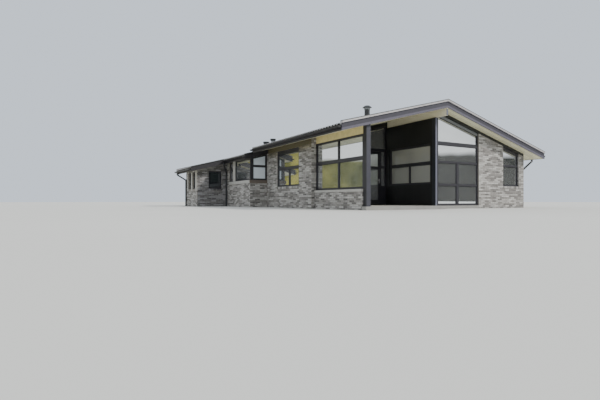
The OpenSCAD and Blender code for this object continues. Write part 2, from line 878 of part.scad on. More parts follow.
function wave(y0, y1) = let (count = round((y1 - y0) / wave_pitch * wave_steps))
    [for (i = [0:count]) [y0 + (y1 - y0) * i / count,
        cos(pitch) * sheet_h * (0.6 - 0.4 * cos(360 / wave_steps * i))]];

module sheet_run(y0, y1, reach, drop) translate([0, 0, crest(0, drop) - sheet_h]) rotate([0, pitch, 0])
    rotate([90, 0, 90]) linear_extrude((reach + sheet_nose) / cos(pitch))
        polygon(concat([[y1, 0], [y0, 0]], wave(y0, y1)));

y_sheets_front = y_deck_front + kerb_w + seat;
y_sheets_step = front_roof_l - kerb_w - seat;
y_sheets_rear = front_roof_l + kerb_w + seat;
y_sheets_wing = y_wing_roof + kerb_w + seat;
y_sheets_back = y_deck_back - kerb_w - seat;

module roof_sheets_left() {
    color("#8d9094") place() mirror([1, 0, 0]) {
        sheet_run(y_sheets_front, y_sheets_step, -x_eave_left, 0);
        sheet_run(y_sheets_rear, y_sheets_wing, -x_eave_kitchen, rear_drop);
        sheet_run(y_sheets_wing, y_sheets_back, -x_eave_wing, rear_drop);
    }
}

module roof_sheets_right() {
    color("#8d9094") place() {
        sheet_run(y_sheets_front, y_sheets_step, x_eave_right, 0);
        sheet_run(y_sheets_rear, y_sheets_back, x_eave_right, rear_drop);
    }
}

// Boards and caps of the gables and of the rakes over the kitchen bay and the wing
y_kitchen_rake = front_roof_l - barge_t;
y_wing_rake = y_wing_roof - barge_t;
cap_clear = 20;
x_wing_cap = x_eave_kitchen - sheet_nose - cap_clear;
y_front_kerb = y_deck_front + kerb_w;
y_step_kerb = front_roof_l - kerb_w;
y_rear_kerb = front_roof_l + kerb_w;
y_back_kerb = y_deck_back - kerb_w;
ridge_cap_w = 260;
ridge_cap_t = 10;

module verge_cap(x0, x1, y_face, out, drop, rise) {
    y_lip = y_face - out * (barge_t + cap_lip);
    y_kerb = y_face + out * kerb_w;
    across(min(y_lip, y_face), max(y_lip, y_face)) roof_band(x0, x1, rise, -cap_drop, drop);
    across(min(y_kerb, y_face), max(y_kerb, y_face)) roof_band(x0, x1, rise, -sheet_h, drop);
}

module roof_caps_left() {
    color("silver") place() {
        verge_cap(x_eave_left - fascia_t, 0, y_deck_front, 1, 0, cap_rise);
        across(y_step_kerb, front_roof_l) roof_band(x_eave_left, 0, low_cap_rise, -sheet_h);
        across(y_front_kerb, y_step_kerb) roof_band(-ridge_cap_w / 2, 0, ridge_cap_t, seat);
        verge_cap(x_eave_kitchen - fascia_t, x_eave_left, front_roof_l, 1, rear_drop, low_cap_rise);
        verge_cap(x_eave_wing - fascia_t, x_wing_cap, y_wing_roof, 1, rear_drop, low_cap_rise);
        verge_cap(x_eave_wing - fascia_t, 0, y_deck_back, -1, rear_drop, cap_rise);
        across(front_roof_l, y_rear_kerb) roof_band(x_eave_kitchen, 0, 0, -sheet_h, rear_drop);
        across(y_rear_kerb, y_back_kerb)
            roof_band(-ridge_cap_w / 2, 0, ridge_cap_t, seat, rear_drop);
    }
}

module roof_caps_right() {
    color("silver") place() {
        verge_cap(0, x_eave_right + fascia_t, y_deck_front, 1, 0, cap_rise);
        across(y_step_kerb, front_roof_l) roof_band(0, x_eave_right, low_cap_rise, -sheet_h);
        across(y_front_kerb, y_step_kerb) roof_band(0, ridge_cap_w / 2, ridge_cap_t, seat);
        verge_cap(0, x_eave_right + fascia_t, y_deck_back, -1, rear_drop, cap_rise);
        across(front_roof_l, y_rear_kerb) roof_band(0, x_eave_right, 0, -sheet_h, rear_drop);
        across(y_rear_kerb, y_back_kerb) roof_band(0, ridge_cap_w / 2, ridge_cap_t, seat, rear_drop);
    }
}

// Eaves, each given as [deck edge, side, start, end, drop]
gutter_dip = 10;
eaves = [
    [x_eave_left, -1, y_deck_front, y_kitchen_rake - cap_lip, 0],
    [x_eave_kitchen, -1, front_roof_l, y_wing_rake - cap_lip, rear_drop],
    [x_eave_wing, -1, y_wing_roof, y_deck_back, rear_drop],
    [x_eave_right, 1, y_deck_front, front_roof_l, 0],
    [x_eave_right, 1, front_roof_l, y_deck_back, rear_drop]
];

function fascia_top(e) = deck_top(e[0] + e[1] * fascia_t, e[4]);
function gutter_x(e) = e[0] + e[1] * (fascia_t + gutter_d / 2);
function gutter_top(e) = deck_top(gutter_x(e) + e[1] * gutter_d / 2, e[4]) - gutter_dip;

// Barge board whose lower part stands out from the band under the cap
module barge_board(x0, x1, y_face, out, drop) {
    y_band = y_face - out * (barge_t - band_set);
    y_front = y_face - out * barge_t;
    across(min(y_face, y_band), max(y_face, y_band))
        roof_band(x0, x1, -cap_drop, -roof_h - board_lip, drop);
    across(min(y_band, y_front), max(y_band, y_front))
        roof_band(x0, x1, -cap_drop - band_h, -roof_h - board_lip, drop);
}

module edge_boards() {
    color("#6b6c78") place() {
        barge_board(x_eave_left - fascia_t, x_eave_right + fascia_t, y_deck_front, 1, 0);
        barge_board(x_eave_wing - fascia_t, x_eave_right + fascia_t, y_deck_back, -1, rear_drop);
        barge_board(x_eave_kitchen - fascia_t, x_eave_left, front_roof_l, 1, rear_drop);
        difference() {
            barge_board(x_eave_wing - fascia_t, x_eave_kitchen, y_wing_roof, 1, rear_drop);
            across(y_wing_rake - 1, y_wing_roof + 1)
                roof_band(x_wing_cap, x_eave_kitchen + 1, 0, -deck_set, rear_drop);
        }
        for (e = eaves)
            block(min(e[0], e[0] + e[1] * fascia_t), max(e[0], e[0] + e[1] * fascia_t), e[2], e[3],
                soffit(e[0], e[4]) - board_lip, fascia_top(e));
    }
}

module half_disc(r) {
    intersection() {
        circle(r);
        rect(-r, r, -r, 0);
    }
}

// Half-round gutters with closed ends and an outlet over each downpipe
outlet_h = 60;

module gutters() {
    color("#22262b") place() {
        for (e = eaves) translate([gutter_x(e), 0, gutter_top(e)]) {
            across(e[2], e[3]) difference() {
                half_disc(gutter_d / 2);
                half_disc(gutter_d / 2 - gutter_t);
            }
            for (y = [e[2], e[3] - gutter_t]) across(y, y + gutter_t) half_disc(gutter_d / 2);
        }
        for (run = pipe_runs) outlet(run);
    }
}

module outlet(run) {
    e = eaves[run[0]];
    difference() {
        translate([gutter_x(e), run[1], outlet_z(e)]) cylinder(d = pipe_d, h = outlet_h + gutter_d / 4);
        translate([gutter_x(e), 0, gutter_top(e)]) across(e[2], e[3]) circle(gutter_d / 2 - gutter_t);
    }
}

function outlet_z(e) = gutter_top(e) - gutter_d / 2 - outlet_h;

// Downpipes, each given as [eave, place along the gutter, x and y at the wall]
pipe_out = pipe_gap + pipe_d / 2;
pipe_inset = 150;
outlet_inset = 85;
neck_h = 80;
pipe_fall = 0.6;
elbow_rim = 8;
elbow_d = pipe_d + elbow_rim;
pipe_runs = [
    [1, y_wing_rake - cap_lip - outlet_inset, x_kitchen - pipe_out, y_wing - pipe_out],
    [2, house_l - pipe_inset, x_wing - pipe_out, house_l - pipe_inset],
    [3, pipe_inset, x_right + pipe_out, pipe_inset],
    [4, house_l - pipe_inset, x_right + pipe_out, house_l - pipe_inset]
];

module pipe(a, b) {
    d = b - a;
    translate(a) rotate([0, acos(d[2] / norm(d)), atan2(d[1], d[0])]) cylinder(d = pipe_d, h = norm(d));
}

module downpipes() {
    color("#22262b") place() for (run = pipe_runs) {
        top = outlet_z(eaves[run[0]]);
        bend = [gutter_x(eaves[run[0]]), run[1], top - neck_h];
        reach = norm([run[2] - bend[0], run[3] - bend[1]]);
        wall = [run[2], run[3], bend[2] - reach * pipe_fall];
        pipe([bend[0], bend[1], top], bend);
        translate(bend) rotate([90, 0, 0]) sphere(d = elbow_d);
        pipe(bend, wall);
        translate(wall) rotate([90, 0, 0]) sphere(d = elbow_d);
        pipe(wall, [run[2], run[3], 0]);
    }
}

// Flue and vents, each standing on a flashing plate that lies on the sheets' crests
flashing_t = 8;
flashing_share = 0.67;
flue_x = -325;
flue_inset = 850;
flue_y = y_house + flue_inset;
low_vent_x = -3725;
low_vent_inset = 330;
high_vent_x = -2820;
high_vent_inset = 1470;
// Vents, each given as [x, y, height]
vents = [
    [low_vent_x, kitchen_y + low_vent_inset, low_vent_h],
    [high_vent_x, kitchen_y + high_vent_inset, high_vent_h]
];

module roof_pipe(x, y, drop, d, top) {
    plate = flashing_share * d;
    low = crest(abs(x) + d, drop) - d;
    half_w = plate * cos(pitch);
    across(y - plate, y + plate) roof_band(x - half_w, x + half_w, flashing_t, seat, drop);
    difference() {
        translate([x, y, low]) cylinder(d = d, h = top - low);
        across(y - d, y + d) roof_band(x - d, x + d, flashing_t / 2, -2 * d, drop);
    }
}

// Low cone, with the wide end down over the flue and up over a vent
module hat(x, y, top, h, d_low, d_high) translate([x, y, top - h]) cylinder(d1 = d_low, d2 = d_high, h = h);

module roof_pipes() {
    flue_hat_rim = 90;
    flue_hat_h = 75;
    flue_collar_rim = 22;
    flue_collar_h = 100;
    vent_hat_rim = 58;
    vent_hat_h = 85;
    vent_rim_h = 15;
    flue_body = flue_top - flue_hat_h;
    color("#1c1e21") place() {
        roof_pipe(flue_x, flue_y, 0, flue_d, flue_body);
        hat(flue_x, flue_y, flue_body, flue_collar_h, flue_d + flue_collar_rim, flue_d + 2 * flue_collar_rim);
        hat(flue_x, flue_y, flue_top, flue_hat_h, flue_d + 2 * flue_hat_rim, flue_d);
        for (v = vents) {
            top = crest(v[0], rear_drop) + v[2];
            hat_d = vent_d + 2 * vent_hat_rim;
            roof_pipe(v[0], v[1], rear_drop, vent_d, top - vent_hat_h - vent_rim_h);
            hat(v[0], v[1], top - vent_rim_h, vent_hat_h, vent_d + vent_hat_rim, hat_d);
            hat(v[0], v[1], top, vent_rim_h, hat_d, hat_d);
        }
    }
}

floor_slab();
terrace_floor();
gable_wall();
left_wall();
kitchen_wall();
wing_wall();
rear_wall();
right_wall();
kitchen_post();
terrace_side_wall();
terrace_back_wall();
terrace_door_lintel();
screen_wall();
sills();
corner_post();
ridge_post();
ridge_beam();
eave_beam();
gable_frieze();
gable_frames();
screen_frame();
terrace_side_frame();
terrace_window_frame();
terrace_door_frame();
left_window_frame();
kitchen_frames();
wing_frames();
back_frames();
gable_glass();
terrace_glass();
left_side_glass();
back_glass();
terrace_door();
terrace_door_glass();
terrace_door_handle();
roof_deck_left();
roof_deck_right();
roof_sheets_left();
roof_sheets_right();
roof_caps_left();
roof_caps_right();
edge_boards();
gutters();
downpipes();
roof_pipes();
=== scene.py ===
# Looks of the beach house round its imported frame. Lengths are in metres.
# Pieces are drawn with x = 0 at the ridge line and y = 0 at the front gable wall's face, as in the part's
# source, and placed() moves them into the part's frame.
import math
import random

import bmesh
import bpy
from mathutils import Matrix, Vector


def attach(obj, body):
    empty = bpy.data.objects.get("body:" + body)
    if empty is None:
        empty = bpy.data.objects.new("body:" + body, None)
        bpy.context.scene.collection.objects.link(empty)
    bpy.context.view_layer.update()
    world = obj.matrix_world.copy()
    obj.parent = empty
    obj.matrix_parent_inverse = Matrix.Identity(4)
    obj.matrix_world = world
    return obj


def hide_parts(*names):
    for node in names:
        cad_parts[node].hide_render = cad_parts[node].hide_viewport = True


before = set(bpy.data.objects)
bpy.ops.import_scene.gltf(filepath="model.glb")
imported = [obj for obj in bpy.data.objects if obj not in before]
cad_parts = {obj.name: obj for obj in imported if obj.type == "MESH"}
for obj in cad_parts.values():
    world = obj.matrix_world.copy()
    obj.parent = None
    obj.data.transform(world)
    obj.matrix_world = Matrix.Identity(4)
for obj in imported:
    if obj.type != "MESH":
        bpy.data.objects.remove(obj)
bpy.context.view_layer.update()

# Sizes and places shared with the part's source
house = {
    "shift": (0.345, -6.025, 0.0),  # from the drawing's origin to the part's
    "ridgeHeight": 3.91,
    "pitch": math.radians(14.5),
    "roofDepth": 0.24,
    "rearDrop": 0.2,  # the rear roof is this much lower
    "roofFront": -0.45,
    "roofBack": 12.5,
    "left": -3.83,  # outer faces of the walls, across
    "right": 5.22,
    "kitchen": -4.69,
    "wing": -6.27,
    "gableBrick": 2.28,
    "pierY": 2.73,  # and along the house
    "stepY": 6.59,
    "rearRoofY": 6.63,
    "kitchenY": 6.75,
    "kitchenPierY": 9.5,
    "wingY": 9.88,
    "length": 12.05,
    "floor": 0.12,
    "sill": 0.9,
    "boardFoot": 2.48,  # foot of the board along the piers
}
left, right, kitchen, wing = (house[key] for key in ("left", "right", "kitchen", "wing"))
rearDrop = house["rearDrop"]
slope = math.tan(house["pitch"])
far = 99.0  # past every part of the house


def soffit(x, drop=0.0):
    return house["ridgeHeight"] - drop - slope * abs(x) - house["roofDepth"]


# Shader nodes
def newMaterial(name, **fixed):
    material = bpy.data.materials.new(name)
    material.use_nodes = True
    shader = material.node_tree.nodes["Principled BSDF"]
    for socket, value in fixed.items():
        shader.inputs[socket].default_value = value
    return material, material.node_tree, shader


def addNode(tree, kind, links=None, **values):
    made = tree.nodes.new(kind)
    for key, value in values.items():
        if hasattr(made, key):
            setattr(made, key, value)
        else:
            made.inputs[key].default_value = value
    for socket, source in (links or {}).items():
        tree.links.new(source, made.inputs[socket])
    return made


# Links each input to a socket, or gives it a fixed value
def feed(tree, made, inputs):
    for index, value in inputs.items():
        if isinstance(value, bpy.types.NodeSocket):
            tree.links.new(value, made.inputs[index])
        else:
            made.inputs[index].default_value = value


def maths(tree, operation, a, b=0.0, clamp=False):
    made = addNode(tree, "ShaderNodeMath", operation=operation, use_clamp=clamp)
    feed(tree, made, {0: a, 1: b})
    return made.outputs[0]


def opaque(colour):
    return (*colour, 1) if isinstance(colour, tuple) else colour


# Inputs 6 and 7 and output 2 of a mix node are its colours
def mixed(tree, share, a, b, kind="MIX"):
    made = addNode(tree, "ShaderNodeMix", data_type="RGBA", blend_type=kind)
    feed(tree, made, {0: share, 6: opaque(a), 7: opaque(b)})
    return made.outputs[2]


def multiplied(tree, a, b, share=1.0):
    return mixed(tree, share, a, b, "MULTIPLY")


def noise(tree, size, detail=4.0, grain=(1, 1, 1)):
    place = tree.nodes.new("ShaderNodeTexCoord").outputs["Object"]
    stretched = addNode(tree, "ShaderNodeMapping", {"Vector": place}, Scale=grain).outputs["Vector"]
    made = addNode(tree, "ShaderNodeTexNoise", {"Vector": stretched}, Scale=1 / size, Detail=detail)
    return made.outputs["Fac"]


def ramp(tree, factor, stops):
    made = addNode(tree, "ShaderNodeValToRGB", {"Fac": factor})
    band = made.color_ramp
    while len(band.elements) < len(stops):
        band.elements.new(0.5)
    for element, (place, colour) in zip(band.elements, stops):
        element.position = place
        element.color = opaque(colour)
    return made.outputs["Color"]


# Two colours spread in soft blotches of a size
def blotched(tree, size, colours, detail=4.0, stops=(0.3, 0.75), grain=(1, 1, 1)):
    return ramp(tree, noise(tree, size, detail, grain), list(zip(stops, colours)))


def grey(value):
    return (value, value, value)


def dimmed(colour, share):
    return tuple(channel * share for channel in colour)


# A colour and a darker shade of it
def shades(colour, share):
    return (colour, dimmed(colour, share))


def splitPlace(tree):
    place = tree.nodes.new("ShaderNodeTexCoord").outputs["Object"]
    return addNode(tree, "ShaderNodeSeparateXYZ", {"Vector": place}).outputs


# How far a surface faces along an axis
def facing(tree, axis):
    surface = tree.nodes.new("ShaderNodeNewGeometry").outputs["True Normal"]
    return addNode(tree, "ShaderNodeSeparateXYZ", {"Vector": surface}).outputs[axis]


# Random tone stored on each brick or sheet
def toneOf(tree):
    return addNode(tree, "ShaderNodeAttribute", attribute_name="tone").outputs["Fac"]


# One where a value lies between two limits
def between(tree, value, low, high):
    above = maths(tree, "GREATER_THAN", value, low)
    return maths(tree, "MULTIPLY", above, maths(tree, "LESS_THAN", value, high))


# One in a box, given by limits as (axis, low, high)
def inBox(tree, box):
    place = splitPlace(tree)
    mask = 1.0
    for axis, low, high in box:
        shift = house["shift"][axis]
        mask = maths(tree, "MULTIPLY", mask, between(tree, place[axis], low + shift, high + shift))
    return mask


# One in any of some boxes
def inAny(tree, boxes):
    mask = 0.0
    for box in boxes:
        mask = maths(tree, "MAXIMUM", mask, inBox(tree, box))
    return mask


# One on the front or rear verge
def onVerge(tree, reach):
    return inAny(tree, [[(1, -far, house["roofFront"] + reach)], [(1, house["roofBack"] - reach, far)]])


# Depth below the sheets' crests at a place on the roof's edge
def depthBelowCrests(tree):
    across, along, up = splitPlace(tree)
    onRear = maths(tree, "GREATER_THAN", along, house["rearRoofY"] + house["shift"][1])
    drop = maths(tree, "MULTIPLY", onRear, rearDrop)
    reach = maths(tree, "ABSOLUTE", maths(tree, "SUBTRACT", across, house["shift"][0]))
    crest = maths(tree, "SUBTRACT", maths(tree, "SUBTRACT", house["ridgeHeight"], drop),
                  maths(tree, "MULTIPLY", reach, slope))
    return maths(tree, "SUBTRACT", crest, up)


# Colour of a surface, with a relief given as (strength, depth)
def coat(tree, shader, colour, height, relief):
    strength, depth = relief
    tree.links.new(colour, shader.inputs["Base Color"])
    bump = addNode(tree, "ShaderNodeBump", {"Height": height}, Strength=strength, Distance=depth)
    tree.links.new(bump.outputs["Normal"], shader.inputs["Normal"])


# Wear of painted wood and metal, in sizes and tones
wear = {
    "streak": 0.03,
    "streakTone": 0.86,
    "patch": 0.15,
    "patchTone": 0.8,
    "grit": 0.012,
    "relief": (0.12, 0.004),
    "broadPatch": 0.5,
    "boardTones": (0.88, 1.06),
    "grooveTone": 0.25,
    "boardGrit": 0.2,  # against the grooves' depth
    "boardRelief": (0.15, 0.004),
}


# Streaks along the grain
def streaked(tree, colour, grain):
    tones = (grey(wear["streakTone"]), grey(1))
    streaks = blotched(tree, wear["streak"], tones, detail=6.0, stops=(0.3, 0.7), grain=grain)
    return multiplied(tree, colour, streaks)


# Wear, streaks and a slight relief over a colour
def finishPaint(tree, shader, colour, grain):
    patches = blotched(tree, wear["patch"], (grey(1), grey(wear["patchTone"])), detail=6.0)
    tinted = streaked(tree, multiplied(tree, colour, patches), grain)
    coat(tree, shader, tinted, noise(tree, wear["grit"], detail=5.0), wear["relief"])


# Barge boards: dark, but paler on the front and rear verges, most of all in a lower strip
bargeLook = {
    "dark": (0.022, 0.020, 0.024),
    "strip": (0.112, 0.106, 0.142),
    "upper": (0.042, 0.040, 0.057),
    "stripFrom": 0.168,
    "reach": 0.045,
    "grain": (0.6, 8, 8),
    "roughness": 0.45,
}


def bargeMaterial(name):
    material, tree, shader = newMaterial(name, Roughness=bargeLook["roughness"])
    strip = maths(tree, "GREATER_THAN", depthBelowCrests(tree), bargeLook["stripFrom"])
    face = mixed(tree, strip, bargeLook["upper"], bargeLook["strip"])
    colour = mixed(tree, onVerge(tree, bargeLook["reach"]), bargeLook["dark"], face)
    finishPaint(tree, shader, colour, bargeLook["grain"])
    return material


# Painted or stained wood. Boards are given as (axis, width, gap), and a dark box takes the barge's colour
paints = {
    "blackBoards": {
        "colour": (0.010, 0.011, 0.013),
        "worn": (0.006, 0.007, 0.008),
        "boards": (0, 0.12, 0.006),
    },
    "blackSideBoards": {
        "colour": (0.010, 0.011, 0.013),
        "worn": (0.006, 0.007, 0.008),
        "boards": (1, 0.12, 0.006),
    },
    "creamBoards": {
        "colour": (0.90, 0.86, 0.60),
        "worn": (0.80, 0.76, 0.52),
        "roughness": 0.55,
        "boards": (1, 0.12, 0.005),
        "darkBox": [(1, 6.58, 6.66)],
    },
    # Paler than the eave beam's cream, as painted light on the ridge beam in shade
    "creamBeamWithPaintedLight": {
        "colour": (0.94, 0.89, 0.72),
        "worn": (0.86, 0.81, 0.64),
        "roughness": 0.55,
        "grain": (8, 0.6, 8),
    },
    "framePaint": {
        "colour": (0.030, 0.029, 0.037),
        "worn": (0.020, 0.020, 0.026),
        "roughness": 0.35,
        "grain": (4, 4, 4),
    },
}


# Tone of each board, with a mask of the grooves between them
def boardTones(tree, boards):
    axis, width, gap = boards
    along = maths(tree, "DIVIDE", splitPlace(tree)[axis], width)
    offCentre = maths(tree, "ABSOLUTE", maths(tree, "SUBTRACT", maths(tree, "FRACT", along), 0.5))
    groove = maths(tree, "GREATER_THAN", offCentre, 0.5 - gap / width / 2)
    number = maths(tree, "FLOOR", along)
    chance = addNode(tree, "ShaderNodeTexWhiteNoise", {"W": number}, noise_dimensions="1D").outputs["Value"]
    low, high = wear["boardTones"]
    return ramp(tree, chance, [(0, grey(low)), (1, grey(high))]), groove


def paintMaterial(name, colour, worn, roughness=0.5, boards=None, grain=(1, 1, 1), darkBox=None):
    material, tree, shader = newMaterial(name, Roughness=roughness)
    tinted = streaked(tree, blotched(tree, wear["broadPatch"], (colour, worn)), grain)
    height = noise(tree, wear["grit"], detail=5.0, grain=grain)
    if boards:
        tones, groove = boardTones(tree, boards)
        tinted = mixed(tree, groove, multiplied(tree, tinted, tones), dimmed(worn, wear["grooveTone"]))
        height = maths(tree, "SUBTRACT", maths(tree, "MULTIPLY", height, wear["boardGrit"]), groove)
    if darkBox:
        tinted = mixed(tree, inBox(tree, darkBox), tinted, bargeLook["dark"])
    coat(tree, shader, tinted, height, wear["boardRelief"])
    return material


# Mortar outdoors, and plaster in the boxes given
wallLook = {
    "mortar": (0.30, 0.28, 0.255),
    "mortarShade": 0.7,
    "plaster": (0.42, 0.41, 0.39),
    "plasterShade": 0.93,
    "plasterFrom": 0.29,  # depth behind the outer face
    "mortarPatch": 0.05,
    "plasterPatch": 0.8,
    "grit": 0.008,
    "relief": (0.3, 0.003),
    "roughness": 0.9,
}


def wallMaterial(name, indoors):
    material, tree, shader = newMaterial(name, Roughness=wallLook["roughness"])
    outer = shades(wallLook["mortar"], wallLook["mortarShade"])
    inner = shades(wallLook["plaster"], wallLook["plasterShade"])
    mortar = blotched(tree, wallLook["mortarPatch"], outer, stops=(0.3, 0.8))
    plaster = blotched(tree, wallLook["plasterPatch"], inner, stops=(0.3, 0.8))
    colour = mixed(tree, inAny(tree, indoors), mortar, plaster)
    coat(tree, shader, colour, noise(tree, wallLook["grit"], detail=6.0), wallLook["relief"])
    return material


# Grey brick, each with its own tone, with painted shade under the left eaves and beside the wing
brickLook = {
    "tones": [(0.2, (0.105, 0.100, 0.098)), (0.55, (0.280, 0.268, 0.255)), (1.0, (0.560, 0.550, 0.530))],
    "toneShare": 0.7,
    "cloud": 0.09,
    "cloudShare": 0.55,
    "speck": 0.010,
    "speckTone": 0.55,
    "speckShare": 0.6,
    "relief": (0.5, 0.003),
    "roughness": 0.88,
    # Painted shade under the left eaves: its tone, the heights over which it fades in, and its box
    "stainAndShade": (0.62, 0.56, 0.38),
    "eaveShadeFrom": 2.22,
    "eaveShadeTo": 2.42,
    "eaveShadeBox": [(0, -far, left + 0.002), (1, 2.7, 6.6)],
    "shade": (0.55, 0.56, 0.60),
    "shadeBox": [(0, wing + 0.002, kitchen), (1, 9.8, 9.9)],
}


def brickMaterial(name):
    material, tree, shader = newMaterial(name, Roughness=brickLook["roughness"])
    cloud = maths(tree, "MULTIPLY", noise(tree, brickLook["cloud"], detail=5.0), brickLook["cloudShare"])
    tone = maths(tree, "ADD", maths(tree, "MULTIPLY", toneOf(tree), brickLook["toneShare"]), cloud)
    speckTones = (grey(brickLook["speckTone"]), grey(1))
    specks = blotched(tree, brickLook["speck"], speckTones, detail=2.0, stops=(0.35, 0.5))
    speckled = multiplied(tree, ramp(tree, tone, brickLook["tones"]), specks, brickLook["speckShare"])
    # Painted shade, darkest at the top of the left piers under the eaves, then painted shade beside the wing
    above = maths(tree, "SUBTRACT", splitPlace(tree)[2], brickLook["eaveShadeFrom"])
    depth = maths(tree, "DIVIDE", above, brickLook["eaveShadeTo"] - brickLook["eaveShadeFrom"], clamp=True)
    eaveShade = maths(tree, "MULTIPLY", depth, inBox(tree, brickLook["eaveShadeBox"]))
    stainedAndShaded = multiplied(tree, speckled, brickLook["stainAndShade"], eaveShade)
    shaded = multiplied(tree, stainedAndShaded, brickLook["shade"], inBox(tree, brickLook["shadeBox"]))
    coat(tree, shader, shaded, noise(tree, brickLook["speck"], detail=6.0), brickLook["relief"])
    return material


# Metal and rubber. Dirt is the tone of the darker patches
metals = {
    "darkMetal": {"colour": (0.030, 0.033, 0.038), "roughness": 0.4},
    "brightMetal": {"colour": (0.55, 0.56, 0.57), "roughness": 0.3, "metallic": 0.9},
    "screwCap": {"colour": (0.12, 0.12, 0.125), "roughness": 0.4},
    "gutterMetal": {"colour": (0.026, 0.025, 0.026), "roughness": 0.45, "metallic": 0.2, "dirt": 0.7},
    "gasketRubber": {"colour": (0.008, 0.008, 0.009), "roughness": 0.6},
}
metalWear = {
    "patch": 0.15,
    "smear": 0.05,
    "smearRoughness": (-0.1, 0.25),  # least, and its range
    "grit": 0.01,
    "relief": (0.05, 0.002),
}


def metalMaterial(name, colour, roughness, metallic=0.0, dirt=0.75):
    material, tree, shader = newMaterial(name, Metallic=metallic)
    stainedAndShaded = blotched(tree, metalWear["patch"], shades(colour, dirt), detail=6.0, stops=(0.35, 0.75))
    least, reach = metalWear["smearRoughness"]
    smears = maths(tree, "MULTIPLY", noise(tree, metalWear["smear"]), reach)
    rough = maths(tree, "ADD", smears, roughness + least)
    tree.links.new(rough, shader.inputs["Roughness"])
    coat(tree, shader, stainedAndShaded, noise(tree, metalWear["grit"], detail=3.0), metalWear["relief"])
    return material


# Weathered corrugated sheet with lichen
sheetLook = {
    "dark": (0.17, 0.17, 0.18),
    "pale": (0.28, 0.28, 0.28),
    "lichen": (0.34, 0.34, 0.28),
    "patch": 0.7,
    "lichenSize": 0.04,
    "lichenShare": 0.5,
    "tones": [(0, grey(0.85)), (1, grey(1.1))],
    "grit": 0.01,
    "relief": (0.3, 0.003),
    "roughness": 0.85,
}


def sheetMaterial(name):
    material, tree, shader = newMaterial(name, Roughness=sheetLook["roughness"])
    base = blotched(tree, sheetLook["patch"], (sheetLook["dark"], sheetLook["pale"]), detail=6.0)
    spots = blotched(tree, sheetLook["lichenSize"], (grey(0), grey(1)), detail=8.0, stops=(0.55, 0.68))
    lichen = maths(tree, "MULTIPLY", spots, sheetLook["lichenShare"])
    spotted = mixed(tree, lichen, base, sheetLook["lichen"])
    toned = multiplied(tree, spotted, ramp(tree, toneOf(tree), sheetLook["tones"]))
    coat(tree, shader, toned, noise(tree, sheetLook["grit"], detail=6.0), sheetLook["relief"])
    return material


# Floors of square tiles, plain on their edges
tiles = {
    "indoorFloor": {
        "colour": (0.24, 0.20, 0.15),
        "joint": (0.25, 0.23, 0.20),
        "tile": 0.6,
        "gap": 0.004,
        "roughness": 0.4,
    },
    "terraceTiles": {
        "colour": (0.45, 0.44, 0.41),
        "joint": (0.22, 0.21, 0.20),
        "tile": 0.5,
        "gap": 0.006,
        "roughness": 0.85,
    },
}
tileWear = {
    "edge": (0.30, 0.295, 0.28),
    "secondTone": 0.88,
    "stainAndShade": 0.25,
    "stainTone": 0.82,
    "grit": 0.01,
    "relief": (0.3, 0.004),
}


def tileMaterial(name, colour, joint, tile, gap, roughness):
    material, tree, shader = newMaterial(name, Roughness=roughness)
    place = tree.nodes.new("ShaderNodeTexCoord").outputs["Object"]
    grid = addNode(tree, "ShaderNodeTexBrick", {"Vector": place}, offset=0.0, Scale=1.0)
    feed(tree, grid, {
        "Color1": opaque(colour),
        "Color2": opaque(dimmed(colour, tileWear["secondTone"])),
        "Mortar": opaque(joint),
        "Mortar Size": gap,
        "Brick Width": tile,
        "Row Height": tile,
    })
    onEdge = maths(tree, "LESS_THAN", facing(tree, 2), 0.5)
    stains = blotched(tree, tileWear["stainAndShade"], shades(grey(1), tileWear["stainTone"]), detail=6.0)
    stainedAndShaded = multiplied(tree, mixed(tree, onEdge, grid.outputs["Color"], tileWear["edge"]), stains)
    height = maths(tree, "SUBTRACT", noise(tree, tileWear["grit"]), grid.outputs["Fac"])
    coat(tree, shader, stainedAndShaded, height, tileWear["relief"])
    return material


# Folded caps: pale on the verges below a dark rim, dark elsewhere
capLook = {
    "pale": (0.52, 0.50, 0.51),
    "dark": (0.085, 0.087, 0.085),
    "rimTo": -0.032,
    "reach": 0.12,
    "grain": (0.6, 8, 8),
    "roughness": 0.5,
}


def capMaterial(name):
    material, tree, shader = newMaterial(name, Roughness=capLook["roughness"])
    below = maths(tree, "GREATER_THAN", depthBelowCrests(tree), capLook["rimTo"])
    pale = maths(tree, "MULTIPLY", below, onVerge(tree, capLook["reach"]))
    finishPaint(tree, shader, mixed(tree, pale, capLook["dark"], capLook["pale"]), capLook["grain"])
    return material


# Cream beam, with painted shade in dark olive on the board along the piers
beamLook = {
    "cream": (0.80, 0.68, 0.33),
    "shadedOlive": (0.120, 0.102, 0.050),
    "boardBox": [(0, -far, left - 0.002)],
    "grain": (8, 0.6, 8),
    "roughness": 0.55,
}


def boardedBeamMaterial(name):
    material, tree, shader = newMaterial(name, Roughness=beamLook["roughness"])
    # The board along the piers gets the painted shade
    colour = mixed(tree, inBox(tree, beamLook["boardBox"]), beamLook["cream"], beamLook["shadedOlive"])
    finishPaint(tree, shader, colour, beamLook["grain"])
    return material


# Frames of the gable's windows, with the raking head in grey
railLook = {
    "paint": (0.030, 0.029, 0.037),
    "head": (0.215, 0.225, 0.235),
    "headFrom": 0.357,
    "headTo": 0.47,
    "headBox": [(0, 0.02, 2.25)],
    "grain": (4, 4, 4),
    "roughness": 0.35,
}


def gableFrameMaterial(name):
    material, tree, shader = newMaterial(name, Roughness=railLook["roughness"])
    head = between(tree, depthBelowCrests(tree), railLook["headFrom"], railLook["headTo"])
    head = maths(tree, "MULTIPLY", head, inBox(tree, railLook["headBox"]))
    finishPaint(tree, shader, mixed(tree, head, railLook["paint"], railLook["head"]), railLook["grain"])
    return material


